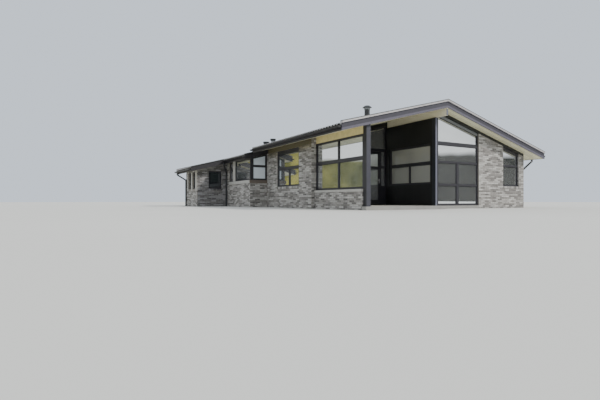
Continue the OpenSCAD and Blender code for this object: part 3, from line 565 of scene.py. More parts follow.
# Posts, with painted shade on the face that looks left
posts = {
    "cornerPostPaint": {"colour": (0.046, 0.047, 0.064), "shadedLeftFace": (0.018, 0.018, 0.022)},
    "ridgePostPaint": {"colour": (0.140, 0.148, 0.200), "shadedLeftFace": (0.022, 0.025, 0.034)},
}


def postMaterial(name, colour, shadedLeftFace, roughness=0.45, grain=(8, 8, 0.6)):
    material, tree, shader = newMaterial(name, Roughness=roughness)
    # Painted shade on the faces that look left
    looksLeft = maths(tree, "LESS_THAN", facing(tree, 0), -0.5)
    finishPaint(tree, shader, mixed(tree, looksLeft, colour, shadedLeftFace), grain)
    return material


# Flue with a pale collar, and vents with pale bodies under dark hats
pipeLook = {
    "pale": (0.30, 0.32, 0.33),
    "dark": (0.040, 0.043, 0.048),
    "paleBoxes": [
        [(2, 4.345, 4.445)],
        [(1, 5.5, 7.65), (2, -far, 2.992)],
        [(1, 7.65, far), (2, -far, 3.346)],
    ],
    "grain": (6, 6, 0.6),
    "roughness": 0.42,
    "metallic": 0.2,
}


def pipeMaterial(name):
    material, tree, shader = newMaterial(name, Roughness=pipeLook["roughness"], Metallic=pipeLook["metallic"])
    colour = mixed(tree, inAny(tree, pipeLook["paleBoxes"]), pipeLook["dark"], pipeLook["pale"])
    finishPaint(tree, shader, colour, pipeLook["grain"])
    return material


# Pale stone, with painted shade in brown on the sill of the kitchen bay's short side
stoneLook = {
    "pale": (0.52, 0.51, 0.48),
    "sillShade": (0.17, 0.14, 0.115),
    "sillShadeBox": [(1, 5.0, 6.749)],
    "grain": (1, 1, 1),
    "roughness": 0.8,
}


def stoneMaterial(name):
    material, tree, shader = newMaterial(name, Roughness=stoneLook["roughness"])
    # Painted shade on the sill of the kitchen bay's short side
    colour = mixed(tree, inBox(tree, stoneLook["sillShadeBox"]), stoneLook["pale"], stoneLook["sillShade"])
    finishPaint(tree, shader, colour, stoneLook["grain"])
    return material


# Mirror-like window glass
glassLook = {
    "tint": (0.92, 0.95, 0.97),
    "shade": 0.9,
    "ripple": 0.6,
    "alpha": 0.88,
    "metallic": 0.9,
    "roughness": 0.02,
    "matte": 0.2,  # roughness of a pane without mirror
    "patch": 1.5,
    "relief": (0.02, 0.004),
}
# Panes of another finish, as (box, colour, share of mirror)
paneFinishes = {
    # The pale matte pane on the kitchen bay's short side is a painted reflection
    "paintedReflection": ([(0, -4.56, -3.85), (1, 6.8, 6.85)], (0.78, 0.86, 0.94), 0.0),
    "dim": ([(0, -5.7, -4.9), (1, 9.9, 10.1)], (0.10, 0.11, 0.12), 0.9),
    "veiled": ([(0, -0.06, 0.02), (1, 0.0, 2.8)], (0.52, 0.53, 0.50), 0.4),
}
glasses = {
    "windowGlass": [],
    "leftGlass": ["paintedReflection", "dim"],
    "terraceGlass": ["veiled"],
}


def glassMaterial(name, finishes):
    mirror, cover, blur = glassLook["metallic"], glassLook["alpha"], glassLook["roughness"]
    material, tree, shader = newMaterial(name)
    tints = shades(glassLook["tint"], glassLook["shade"])
    colour = blotched(tree, glassLook["patch"], tints, stops=(0.2, 0.8))
    for finish in finishes:
        box, tone, share = paneFinishes[finish]
        here = inBox(tree, box)
        colour = mixed(tree, here, colour, tone)
        elsewhere = maths(tree, "MULTIPLY", maths(tree, "SUBTRACT", 1.0, here), mirror)
        mirror = maths(tree, "ADD", elsewhere, maths(tree, "MULTIPLY", here, share))
        cover = maths(tree, "MAXIMUM", here, cover)
        blur = maths(tree, "MAXIMUM", maths(tree, "MULTIPLY", here, glassLook["matte"] * (1 - share)), blur)
    feed(tree, shader, {"Metallic": mirror, "Alpha": cover, "Roughness": blur})
    coat(tree, shader, colour, noise(tree, glassLook["ripple"], detail=1.0), glassLook["relief"])
    return material


looks = {name: paintMaterial(name, **values) for name, values in paints.items()}
looks |= {name: metalMaterial(name, **values) for name, values in metals.items()}
looks |= {name: tileMaterial(name, **values) for name, values in tiles.items()}
looks |= {name: postMaterial(name, **values) for name, values in posts.items()}
looks |= {name: glassMaterial(name, finishes) for name, finishes in glasses.items()}
looks |= {
    "brick": brickMaterial("brick"),
    "roofSheet": sheetMaterial("roofSheet"),
    "capMetal": capMaterial("capMetal"),
    "bargePaint": bargeMaterial("bargePaint"),
    "boardedBeam": boardedBeamMaterial("boardedBeam"),
    "gableFramePaint": gableFrameMaterial("gableFramePaint"),
    "pipeMetal": pipeMaterial("pipeMetal"),
    "paleStone": stoneMaterial("paleStone"),
}
# Nodes of the frame that wear each look
nodeLooks = {
    "indoorFloor": ["floor_slab"],
    "terraceTiles": ["terrace_floor"],
    "paleStone": ["sills", "kitchen_post"],
    "cornerPostPaint": ["corner_post"],
    "ridgePostPaint": ["ridge_post"],
    "bargePaint": ["edge_boards"],
    # The gable frieze wears the black boards as painted shade under the soffit
    "blackBoards": ["terrace_back_wall", "terrace_door_lintel", "gable_frieze"],
    "blackSideBoards": ["terrace_side_wall"],
    "creamBoards": ["roof_deck_left", "roof_deck_right"],
    "creamBeamWithPaintedLight": ["ridge_beam"],
    "boardedBeam": ["eave_beam"],
    "framePaint": [
        "screen_frame", "terrace_side_frame", "terrace_window_frame", "terrace_door_frame",
        "left_window_frame", "kitchen_frames", "wing_frames", "back_frames", "terrace_door",
    ],
    "gableFramePaint": ["gable_frames"],
    "windowGlass": ["gable_glass", "back_glass", "terrace_door_glass"],
    "terraceGlass": ["terrace_glass"],
    "leftGlass": ["left_side_glass"],
    "brightMetal": ["terrace_door_handle"],
    "roofSheet": ["roof_sheets_left", "roof_sheets_right"],
    "capMetal": ["roof_caps_left", "roof_caps_right"],
    "gutterMetal": ["gutters"],
    "darkMetal": ["downpipes"],
    "pipeMetal": ["roof_pipes"],
}

# Boxes behind each brick wall's outer face, where it is plastered
behind = wallLook["plasterFrom"]
plastered = {
    "gable_wall": [[(1, behind, far)]],
    "right_wall": [[(0, -far, right - behind)]],
    "rear_wall": [[(1, -far, house["length"] - behind)]],
    "left_wall": [[(0, left + behind, far)]],
    "kitchen_wall": [
        [(0, kitchen + behind, far), (1, house["kitchenY"] + behind, far)], [(0, left + behind, far)],
    ],
    "wing_wall": [[(0, wing + behind, far), (1, house["wingY"] + behind, far)]],
    "screen_wall": [],
}


def dress(node, material):
    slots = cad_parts[node].data.materials
    slots.clear()
    slots.append(material)


for look, nodes in nodeLooks.items():
    for node in nodes:
        dress(node, looks[look])
for node, indoors in plastered.items():
    dress(node, wallMaterial(f"{node}Mortar", indoors))
print("materials done")


# Meshes
def placed(points):
    across, along, up = house["shift"]
    return [(x + across, y + along, z + up) for x, y, z in points]


# Turns the faces of closed shells outwards
def faceOut(mesh):
    work = bmesh.new()
    work.from_mesh(mesh)
    bmesh.ops.recalc_face_normals(work, faces=work.faces)
    work.to_mesh(mesh)
    work.free()


# A shell is (points, faces). This one joins rings of equal counts, and has end caps unless it is looped
def ringShell(rings, looped=False):
    count = len(rings[0])
    points = [point for ring in rings for point in ring]
    faces = []
    for r in range(len(rings) if looped else len(rings) - 1):
        a, b = r * count, (r + 1) % len(rings) * count
        faces += [(a + k, a + (k + 1) % count, b + (k + 1) % count, b + k) for k in range(count)]
    if not looped:
        faces += [tuple(reversed(range(count))), tuple(range(len(points) - count, len(points)))]
    return points, faces


# Several shells as one
def joined(shells):
    points, faces = [], []
    for morePoints, moreFaces in shells:
        first = len(points)
        points += morePoints
        faces += [tuple(first + k for k in face) for face in moreFaces]
    return points, faces


# Chamfered board or plate between two corners
def boardShell(low, high, chamfer):
    levels = [(low[2], chamfer), (low[2] + chamfer, 0), (high[2] - chamfer, 0), (high[2], chamfer)]
    rings = []
    for z, inset in levels:
        x0, y0, x1, y1 = low[0] + inset, low[1] + inset, high[0] - inset, high[1] - inset
        rings.append([(x0, y0, z), (x1, y0, z), (x1, y1, z), (x0, y1, z)])
    return ringShell(rings)


# Places round a circle in plan
def circle(radius, sides, x=0.0, y=0.0):
    turns = [2 * math.pi * k / sides for k in range(sides)]
    return [(x + radius * math.cos(turn), y + radius * math.sin(turn)) for turn in turns]


# Evenly spaced places between two ends, at most a step apart
def spread(start, end, step):
    count = max(1, math.ceil((end - start) / step))
    return [start + (end - start) * k / count for k in range(count + 1)]


def linkedObject(name, data):
    made = bpy.data.objects.new(name, data)
    bpy.context.collection.objects.link(made)
    return made


# Piece from a shell in the drawing's place. Tones are one for each face
def addPiece(name, shell, look, tones=None, body="house"):
    points, faces = shell
    mesh = bpy.data.meshes.new(name)
    mesh.from_pydata(placed(points), [], faces)
    if tones:
        mesh.attributes.new("tone", "FLOAT", "FACE").data.foreach_set("value", tones)
    else:
        faceOut(mesh)
    mesh.materials.append(looks[look])
    piece = linkedObject(name, mesh)
    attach(piece, body)


# Bricks stand a little proud of their mortar, in stretcher bond
brickwork = {
    "length": 0.228,
    "height": 0.054,
    "joint": 0.012,
    "proud": 0.004,
    "bedded": 0.001,
    "chamfer": 0.002,
    "shortest": 0.03,
    "lowest": 0.01,
    "foot": 0.003,
    "sliver": 0.2,  # part of a course that is left out at a face's foot
    "reveal": 0.08,
    "seed": 7,
}
# Sloping brick-on-edge sills under the openings that have reveals
sillBricks = {
    "width": 0.054,
    "nose": 0.025,
    "drop": 0.1,
    "fall": 0.014,
    "seed": 11,
}
# A face looks along an axis, with a sense
looksFront, looksRear, looksLeft, looksRight = (1, -1), (1, 1), (0, -1), (0, 1)


# Point at u along a face, z up and out from it
def onFace(way, plane, u, z, out):
    axis, sense = way
    return (plane + sense * out, u, z) if axis == 0 else (u, plane + sense * out, z)


# Part of a wall's face. Openings are (start, end, foot, head), and topAt gives the height of the bricks
def brickFace(way, plane, start, end, topAt, openings=(), reveal=0.0, foot=brickwork["foot"]):
    return {
        "way": way, "plane": plane, "start": start, "end": end,
        "topAt": topAt, "openings": openings, "reveal": reveal, "foot": foot,
    }


def level(height):
    return lambda u: height


def under(drop, below=0.0):
    return lambda u: soffit(u, drop) - below


# Openings of a face that have reveals and lie wholly on it
def revealed(face):
    return [
        opening for opening in face["openings"]
        if face["reveal"] and face["start"] <= opening[0] and opening[1] <= face["end"]
    ]


# Faces of the two jambs of each opening
def jambFaces(face):
    axis, sense = face["way"]
    reach = sorted((face["plane"], face["plane"] - sense * face["reveal"]))
    return [
        brickFace((1 - axis, side), u, *reach, level(min(head, face["topAt"](u))), foot=foot)
        for start, end, foot, head in revealed(face)
        for u, side in ((start, 1), (end, -1))
    ]


# Number, foot and head of each course of a face
def coursesOf(face):
    start, end, topAt = face["start"], face["end"], face["topAt"]
    highest = max(topAt(start), topAt(end), topAt(0) if start < 0 < end else 0)
    pitch = brickwork["height"] + brickwork["joint"]
    course = math.floor((face["foot"] - house["floor"]) / pitch + brickwork["sliver"])
    while True:
        z = house["floor"] + course * pitch + brickwork["joint"] / 2
        if max(z, face["foot"]) > highest:
            return
        yield course, max(z, face["foot"]), z + brickwork["height"]
        course += 1


# Lengths of wall left of each opening that a course crosses
def freeLengths(start, end, low, high, openings):
    lengths = [(start, end)]
    for u0, u1, z0, z1 in openings:
        if z0 < high and low < z1:
            lengths = [
                part
                for a, b in lengths
                for part in ((a, min(b, u0)), (max(a, u1), b))
                if part[1] - part[0] > brickwork["shortest"]
            ]
    return lengths


# Ends of the bricks in one length of a course
def bricksAlong(start, end, course):
    pitch = brickwork["length"] + brickwork["joint"]
    k = math.floor(start / pitch) - 1
    while True:
        u0 = (k + 0.5 * (course % 2)) * pitch + brickwork["joint"] / 2
        u1 = min(u0 + brickwork["length"], end)
        k += 1
        if u0 >= end:
            return
        u0 = max(u0, start)
        if u1 - u0 >= brickwork["shortest"]:
            yield u0, u1


# An outline drawn anticlockwise runs clockwise on the faces that look to the rear and left
def anticlockwise(way, outline):
    return outline[::-1] if way in (looksRear, looksLeft) else outline


def brickShell(face, corners):
    inset, proud = brickwork["chamfer"], brickwork["proud"]
    middle = [sum(corner[i] for corner in corners) / len(corners) for i in (0, 1)]
    inner = [
        (u - math.copysign(inset, u - middle[0]), z - math.copysign(inset, z - middle[1])) for u, z in corners
    ]
    outlines = ((corners, -brickwork["bedded"]), (corners, proud - inset), (inner, proud))
    return ringShell([
        [onFace(face["way"], face["plane"], u, z, out) for u, z in outline] for outline, out in outlines])


# Bricks of a face, each as (shell, tone)
def bricksOn(face, rng):
    drop = sillBricks["drop"] if face["reveal"] else 0.0
    openings = [(start, end, foot - drop, head) for start, end, foot, head in face["openings"]]
    for course, z0, z1 in coursesOf(face):
        for start, end in freeLengths(face["start"], face["end"], z0, z1, openings):
            for u0, u1 in bricksAlong(start, end, course):
                top0, top1 = (min(z1, face["topAt"](u) - brickwork["joint"] / 2) for u in (u0, u1))
                if min(top0, top1) - z0 < brickwork["lowest"]:
                    continue
                corners = anticlockwise(face["way"], [(u0, z0), (u1, z0), (u1, top1), (u0, top0)])
                yield brickShell(face, corners), rng.random()


# Section of a sill brick, as (out, up), over an opening's foot
def sillSection(face, foot):
    bedded, nose = brickwork["bedded"], sillBricks["nose"]
    underside = foot - sillBricks["drop"] + brickwork["joint"]
    return anticlockwise(face["way"], [
        (-face["reveal"], foot + bedded), (-face["reveal"], foot + sillBricks["fall"]),
        (nose, foot - bedded), (nose, underside), (-bedded, underside), (-bedded, foot + bedded),
    ])


def sillBricksOn(face, rng):
    for start, end, foot, head in revealed(face):
        count = round((end - start) / (sillBricks["width"] + brickwork["joint"]))
        pitch = (end - start) / count
        for k in range(count):
            u = start + k * pitch + brickwork["joint"] / 2
            rings = [
                [onFace(face["way"], face["plane"], place, z, out) for out, z in sillSection(face, foot)]
                for place in (u, u + pitch - brickwork["joint"])
            ]
            yield ringShell(rings), rng.random()


def addBricks(name, bricks):
    bricks = list(bricks)
    tones = [tone for (points, faces), tone in bricks for face in faces]
    addPiece(name, joined(shell for shell, tone in bricks), "brick", tones)
    print(name, len(bricks), "bricks")


proud, reveal, sill = brickwork["proud"], brickwork["reveal"], house["sill"]
toRoof = 9.0  # head of an opening that reaches the roof
friezeDrop = 0.115  # frieze between the gable's brick and the soffit
kitchenSill = 1.1
screenFace = -3.62  # outer face of the windscreen
lowWall = {
    "front": -0.18,
    "left": -3.69,
    "right": -3.46,
    "top": 0.61,
}
openings = {
    "gable": [(3.81, 4.88, sill, toRoof)],
    "left": [(3.71, 5.67, sill, toRoof)],
    "wingFront": [(-5.67, -4.97, sill, 1.828)],
    "wingSide": [(9.9, 11.78, 0.8, 1.768)],
    "rear": [
        (-5.37, -4.47, sill, 1.828), (-3.13, -1.73, sill, 2.1),
        (-0.8, 0.8, sill, 2.25), (2.32, 3.72, sill, 2.1),
    ],
    "right": [
        (1.2, 3.0, sill, 2.1), (3.9, 5.7, sill, 2.1),
        (7.4, 8.6, sill, 1.95), (9.7, 10.9, sill, 1.95),
    ],
}
gableBrick, pierY, stepY = house["gableBrick"], house["pierY"], house["stepY"]
kitchenY, kitchenPierY, wingY, length = (
    house[key] for key in ("kitchenY", "kitchenPierY", "wingY", "length"))
brickFaces = {
    "bricksFront": [
        brickFace(
            looksFront, 0.0, gableBrick, right + proud, under(0, friezeDrop), openings["gable"], reveal),
        brickFace(looksFront, pierY, left - proud, screenFace, under(0)),
        brickFace(looksFront, kitchenY, kitchen - proud, left, level(kitchenSill)),
        brickFace(looksFront, wingY, wing - proud, kitchen, under(rearDrop), openings["wingFront"], reveal),
        brickFace(looksFront, lowWall["front"], lowWall["left"], lowWall["right"], level(lowWall["top"])),
    ],
    "bricksLeft": [
        brickFace(looksLeft, left, pierY, stepY, level(house["boardFoot"]), openings["left"], 0.02),
        brickFace(looksLeft, left, stepY, kitchenY, level(soffit(left, rearDrop))),
        brickFace(looksLeft, kitchen, kitchenY, kitchenPierY, level(kitchenSill)),
        brickFace(looksLeft, kitchen, kitchenPierY, wingY, level(soffit(kitchen, rearDrop))),
        brickFace(looksLeft, wing, wingY, length, level(soffit(wing, rearDrop)), openings["wingSide"]),
        brickFace(looksLeft, lowWall["left"], lowWall["front"], pierY, level(lowWall["top"])),
        brickFace(looksRight, lowWall["right"], lowWall["front"], pierY, level(lowWall["top"])),
    ],
    "bricksRight": [
        brickFace(looksRight, right, 0.0, stepY, level(soffit(right)), openings["right"], reveal),
        brickFace(
            looksRight, right, stepY, length, level(soffit(right, rearDrop)), openings["right"], reveal),
    ],
    "bricksRear": [
        brickFace(looksRear, length, wing - proud, right + proud, under(rearDrop), openings["rear"], reveal),
    ],
}


# Each wall face is followed by its jambs
def wallBricks(faces):
    rng = random.Random(brickwork["seed"])
    for wallFace in faces:
        for face in [wallFace] + jambFaces(wallFace):
            yield from bricksOn(face, rng)


def allSillBricks():
    rng = random.Random(sillBricks["seed"])
    for faces in brickFaces.values():
        for face in faces:
            yield from sillBricksOn(face, rng)


for name, faces in brickFaces.items():
    addBricks(name, wallBricks(faces))
addBricks("brickSills", allSillBricks())

# Pale posts beside the wing's panes
wingPosts = {
    "spans": [(9.9, 10.17), (10.77, 11.0), (11.6, 11.78)],
    "foot": 0.8,
    "head": 1.768,
    "out": 0.014,
    "bedded": 0.001,
    "chamfer": 0.003,
}


def wingPost(start, end):
    low = (wing - wingPosts["out"], start, wingPosts["foot"])
    high = (wing + wingPosts["bedded"], end, wingPosts["head"])
    return boardShell(low, high, wingPosts["chamfer"])


addPiece("wingPosts", joined(wingPost(*span) for span in wingPosts["spans"]), "paleStone")


# Geometry nodes that put a template on each point, sized and turned by the point's attributes
def instanceTree(name):
    tree = bpy.data.node_groups.new(name, "GeometryNodeTree")
    inputs = {"Points": "Geometry", "Template": "Object", "Finish": "Material", "Seed": "Int"}
    for label, kind in inputs.items():
        tree.interface.new_socket(label, in_out="INPUT", socket_type=f"NodeSocket{kind}")
    tree.interface.new_socket("Result", in_out="OUTPUT", socket_type="NodeSocketGeometry")
    given = tree.nodes.new("NodeGroupInput").outputs
    shape = addNode(tree, "GeometryNodeObjectInfo", {"Object": given["Template"]})
    turn = addNode(tree, "GeometryNodeInputNamedAttribute", data_type="FLOAT_VECTOR", Name="turn")
    size = addNode(tree, "GeometryNodeInputNamedAttribute", data_type="FLOAT_VECTOR", Name="size")
    put = addNode(tree, "GeometryNodeInstanceOnPoints", {
        "Points": given["Points"],
        "Instance": shape.outputs["Geometry"],
        "Rotation": turn.outputs["Attribute"],
        "Scale": size.outputs["Attribute"],
    })
    chance = addNode(tree, "FunctionNodeRandomValue", {"Seed": given["Seed"]}, data_type="FLOAT").outputs[1]
    toned = addNode(tree, "GeometryNodeStoreNamedAttribute", {
        "Geometry": put.outputs["Instances"], "Value": chance,
    }, data_type="FLOAT", domain="INSTANCE", Name="tone")
    real = addNode(tree, "GeometryNodeRealizeInstances", {"Geometry": toned.outputs["Geometry"]})
    finish = addNode(tree, "GeometryNodeSetMaterial", {
        "Geometry": real.outputs["Geometry"], "Material": given["Finish"],
    })
    result = tree.nodes.new("NodeGroupOutput")
    tree.links.new(finish.outputs["Geometry"], result.inputs["Result"])
    return tree


placer = instanceTree("placeTemplates")
fullSize = (1, 1, 1)


# Piece from copies of a template. Each spot is (place, turn, size)
def repeatTemplate(name, template, spots, look, seed=1):
    cloud = bpy.data.meshes.new(f"{name}Points")
    cloud.from_pydata(placed([spot[0] for spot in spots]), [], [])
    for label, index in (("turn", 1), ("size", 2)):
        values = [value for spot in spots for value in spot[index]]
        cloud.attributes.new(label, "FLOAT_VECTOR", "POINT").data.foreach_set("vector", values)
    holder = linkedObject(f"{name}Holder", cloud)
    shape = linkedObject(f"{name}Template", template)
    modifier = holder.modifiers.new("place", "NODES")
    modifier.node_group = placer
    values = {"Template": shape, "Finish": looks[look], "Seed": seed}
    for item in placer.interface.items_tree:
        if item.in_out == "INPUT" and item.name in values:
            modifier[item.identifier] = values[item.name]
    graph = bpy.context.evaluated_depsgraph_get()
    mesh = bpy.data.meshes.new_from_object(holder.evaluated_get(graph))
    mesh.name = name
    for made in (holder, shape):
        bpy.data.objects.remove(made)
    piece = linkedObject(name, mesh)
    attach(piece, "house")
    print(name, len(spots), "copies")
    return piece


def templateMesh(name, shell):
    points, faces = shell
    mesh = bpy.data.meshes.new(name)
    mesh.from_pydata(points, [], faces)
    faceOut(mesh)
    return mesh


# Domed screw or bolt head of few sides, standing on z = 0
def domeTemplate(name, radius, height, sides=8):
    profile = ((1.0, 0.0), (1.0, 0.45), (0.6, 0.85))  # shares of the radius and of the height
    points, faces = ringShell([
        [(x, y, height * share) for x, y in circle(radius * reach, sides)] for reach, share in profile])
    top = faces.pop()
    points.append((0.0, 0.0, height))
    faces += [(a, b, len(points) - 1) for a, b in zip(top, top[1:] + top[:1])]
    return templateMesh(name, (points, faces))


# Turn of a template for one side of the house, tilted where it lies on the roof
def sideTurn(side, tilt=0.0):
    return (0.0, tilt, 0.0 if side > 0 else math.pi)


# Place on the plane of a roof's crests, raised by some rise
def onRoof(x, y, drop, rise=0.0):
    return (x, y, house["ridgeHeight"] - drop - slope * abs(x) + rise)


# Overlapping rows of corrugated sheets, with two screws at each lower end
roofing = {
    "wave": 0.177,
    "wavesPerSheet": 6,
    "stepsPerWave": 8,
    "thickness": 0.0065,
    "waveHeight": 0.048,
    "rowLength": 1.04,
    "overlap": 0.12,
    "nose": 0.05,
    "screwWidth": 0.026,
    "screwHeight": 0.012,
    "screwInset": 0.06,
    "screwWaves": (1.5, 4.5),
    "seed": 3,
    "runs": [  # side, front, back, reach of the deck, drop
        (-1, -0.35, 6.59, 4.62, 0.0),
        (1, -0.35, 6.59, 5.98, 0.0),
        (-1, 6.71, 9.49, 4.97, rearDrop),
        (-1, 9.49, 12.40, 6.67, rearDrop),
        (1, 6.71, 12.40, 5.98, rearDrop),
    ],
}


# Sheet one unit wide and long: x down the slope, y across, z out. Its upper end lies under the next row
def sheetTemplate():
    steps, thickness = roofing["stepsPerWave"], roofing["thickness"]
    count = roofing["wavesPerSheet"] * steps
    points = []
    for x, lift in ((0.0, -thickness), (1.0, 0.0)):
        for side in (0.0, -thickness):
            for k in range(count + 1):
                wave = -0.5 * roofing["waveHeight"] * (1 + math.cos(2 * math.pi * k / steps))
                points.append((x, k / count, wave + lift + side))
    row = count + 1
    faces = []
    for k in range(count):
        upper0, lower0, upper1, lower1 = k, row + k, 2 * row + k, 3 * row + k
        faces += [
            (upper0, upper1, upper1 + 1, upper0 + 1), (lower0 + 1, lower1 + 1, lower1, lower0),
            (upper1, lower1, lower1 + 1, upper1 + 1), (upper0 + 1, lower0 + 1, lower0, upper0),
        ]
    faces += [(0, row, 3 * row, 2 * row), (2 * row + count, 3 * row + count, row + count, count)]
    return templateMesh("sheetTemplate", (points, faces))


def downSlope(side, down, y, drop):
    z = house["ridgeHeight"] - drop - down * math.sin(house["pitch"])
    return (side * down * math.cos(house["pitch"]), y, z)


# Spots of the sheets and of their screws on one run
def laySheets(side, front, back, reach, drop):
    columns = round((back - front) / (roofing["wave"] * roofing["wavesPerSheet"]))
    width = (back - front) / columns
    total = (reach + roofing["nose"]) / math.cos(house["pitch"])
    rows = math.ceil((total - roofing["overlap"]) / roofing["rowLength"])
    step = (total - roofing["overlap"]) / rows
    sheetLength = step + roofing["overlap"]
    turn = sideTurn(side, house["pitch"])
    sheets, screws = [], []
    for row in range(rows):
        for column in range(columns):
            y = front + width * (column if side > 0 else column + 1)
            sheets.append((downSlope(side, row * step, y, drop), turn, (sheetLength, width, 1.0)))
            for wave in roofing["screwWaves"]:
                y = front + width * (column + wave / roofing["wavesPerSheet"])
                down = row * step + sheetLength - roofing["screwInset"]
                screws.append((downSlope(side, down, y, drop), turn, fullSize))
    return sheets, screws


def addSheets(side, label, sheet, screw):
    laid = [laySheets(*run) for run in roofing["runs"] if run[0] == side]
    sheetSpots, screwSpots = ([spot for run in laid for spot in run[kind]] for kind in (0, 1))
    piece = repeatTemplate(f"roofSheets{label}", sheet, sheetSpots, "roofSheet", roofing["seed"])
    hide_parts(f"roof_sheets_{label.lower()}")
    repeatTemplate(f"roofScrews{label}", screw, screwSpots, "screwCap")


sheet = sheetTemplate()
sheetScrew = domeTemplate("sheetScrew", roofing["screwWidth"] / 2, roofing["screwHeight"])
addSheets(-1, "Left", sheet, sheetScrew)
addSheets(1, "Right", sheet, sheetScrew)

# Beads that hold each pane on both faces, and the gasket inside them
paneTrim = {
    "beadWidth": 0.014,
    "beadOut": 0.010,
    "gasketWidth": 0.004,
    "gasketOut": 0.003,
    "gasketFall": 0.001,
    "chamfer": 0.002,
}
tight = 1e-5  # corners closer than this are one
flat = 0.001  # corners this close to a pane's face lie on it


# Loose solids of a node, each as its vertices, in the drawing's place
def solidsOf(node):
    work = bmesh.new()
    work.from_mesh(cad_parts[node].data)
    bmesh.ops.remove_doubles(work, verts=work.verts, dist=tight)
    waiting, solids = set(work.verts), []
    while waiting:
        solid, queue = [], [waiting.pop()]
        while queue:
            vertex = queue.pop()
            solid.append(vertex)
            near = {link.other_vert(vertex) for link in vertex.link_edges} & waiting
            waiting -= near
            queue += near
        solids.append([vertex.co - Vector(house["shift"]) for vertex in solid])
    work.free()
    return solids


# A solid pane as (axis, its two planes, corners of one face)
def paneOf(solid):
    spans = [(min(spot[i] for spot in solid), max(spot[i] for spot in solid)) for i in (0, 1)]
    axis = 0 if spans[0][1] - spans[0][0] <= spans[1][1] - spans[1][0] else 1
    corners = [Vector((spot[1 - axis], spot[2])) for spot in solid if spot[axis] - spans[axis][0] < flat]
    centre = sum(corners, Vector((0, 0))) / len(corners)
    corners.sort(key=lambda corner: math.atan2(corner.y - centre.y, corner.x - centre.x))
    return axis, spans[axis], corners


# Anticlockwise outline moved inwards by a width
def shrunk(corners, width):
    moved = []
    for k, corner in enumerate(corners):
        before = (corner - corners[k - 1]).normalized()
        after = (corners[(k + 1) % len(corners)] - corner).normalized()
        inwards = Vector((-before.y - after.y, before.x + after.x))
        moved.append(corner + inwards * width / (1 + before.dot(after)))
    return moved


# Mitred strip round a pane, with its section given as (inset, out) pairs
def stripShell(pane, sense, section):
    axis, planes, corners = pane
    plane = planes[1] if sense > 0 else planes[0]
    rings = [
        [onFace((axis, sense), plane, corner.x, corner.y, out) for corner in shrunk(corners, inset)]
        for inset, out in section
    ]
    return ringShell(rings, looped=True)


def beadSection():
    width, out, cut = paneTrim["beadWidth"], paneTrim["beadOut"], paneTrim["chamfer"]
    return [(0, 0), (0, out), (width - cut, out), (width, out - cut), (width, 0)]


def gasketSection():
    start, out = paneTrim["beadWidth"], paneTrim["gasketOut"]
    end = start + paneTrim["gasketWidth"]
    return [(start, 0), (start, out), (end, out - paneTrim["gasketFall"]), (end, 0)]


def trimPanes(label, nodes, body):
    panes = [paneOf(solid) for node in nodes for solid in solidsOf(node)]
    trims = (("Beads", "framePaint", beadSection()), ("Gaskets", "gasketRubber", gasketSection()))
    for part, look, section in trims:
        strips = [stripShell(pane, sense, section) for pane in panes for sense in (-1, 1)]
        addPiece(label + part, joined(strips), look, body=body)
    print(label, len(panes), "panes")


trimPanes("pane", ["gable_glass", "terrace_glass", "left_side_glass", "back_glass"], "house")
trimPanes("doorPane", ["terrace_door_glass"], "terrace_door")

# Brackets under and over the gutters. Runs are (centre across, front, back, rim's height, side of the wall)
gutterFit = {
    "radius": 0.0625,
    "thickness": 0.003,
    "bedded": 0.0005,  # hook into the gutter
    "seat": 0.0003,  # bar over the rim
    "barInset": 0.001,
    "width": 0.025,
    "step": 0.7,
    "inset": 0.12,
    "wrap": 150,  # degrees
    "segments": 10,
    "runs": [
        (-4.7125, -0.41, 6.585, 2.605, 1),
        (-5.0625, 6.65, 9.365, 2.314, 1),
        (-6.7625, 9.43, 12.46, 1.875, 1),
        (6.0725, -0.41, 6.65, 2.253, -1),
        (6.0725, 6.65, 12.46, 2.053, -1),
    ],
}


# Closed bar swept through (inner, outer) pairs of places in the plane y = 0
def strapShell(pairs, width):
    half = width / 2
    return ringShell([
        [(x0, -half, z0), (x1, -half, z1), (x1, half, z1), (x0, half, z0)] for (x0, z0), (x1, z1) in pairs])


def gutterBracket():
    radius, thickness, segments = gutterFit["radius"], gutterFit["thickness"], gutterFit["segments"]
    hook = []
    for k in range(segments + 1):
        turn = math.radians(-gutterFit["wrap"] * k / segments)
        faces = (radius - gutterFit["bedded"], radius + thickness)
        hook.append(tuple((r * math.cos(turn), r * math.sin(turn)) for r in faces))
    bar = [((x, gutterFit["seat"]), (x, thickness)) for x in (gutterFit["barInset"] - radius, radius)]
    straps = [strapShell(pairs, gutterFit["width"]) for pairs in (hook, bar)]
    return templateMesh("gutterBracket", joined(straps))


repeatTemplate("gutterBrackets", gutterBracket(), [
    ((x, y, z), sideTurn(side), fullSize)
    for x, front, back, z, side in gutterFit["runs"]
    for y in spread(front + gutterFit["inset"], back - gutterFit["inset"], gutterFit["step"])
], "gutterMetal")

# Clips that hold the downpipes, as (pipe's x and y, side of the wall, heights)
pipeFit = {
    "radius": 0.0375,
    "thickness": 0.004,
    "height": 0.03,
    "sides": 20,
    "toWall": 0.058,
    "stem": 0.012,
    "stemInset": 0.001,
    "foot": (0.004, 0.036, 0.06),  # out, across, up
    "chamfer": 0.001,
    "clips": [
        (-4.748, 9.822, 1, (0.35, 1.1, 1.75)),
        (-6.328, 11.90, 1, (0.35, 1.25)),
        (5.278, 0.15, -1, (0.35, 1.1, 1.75)),
        (5.278, 11.90, -1, (0.35, 0.95, 1.55)),
    ],
}


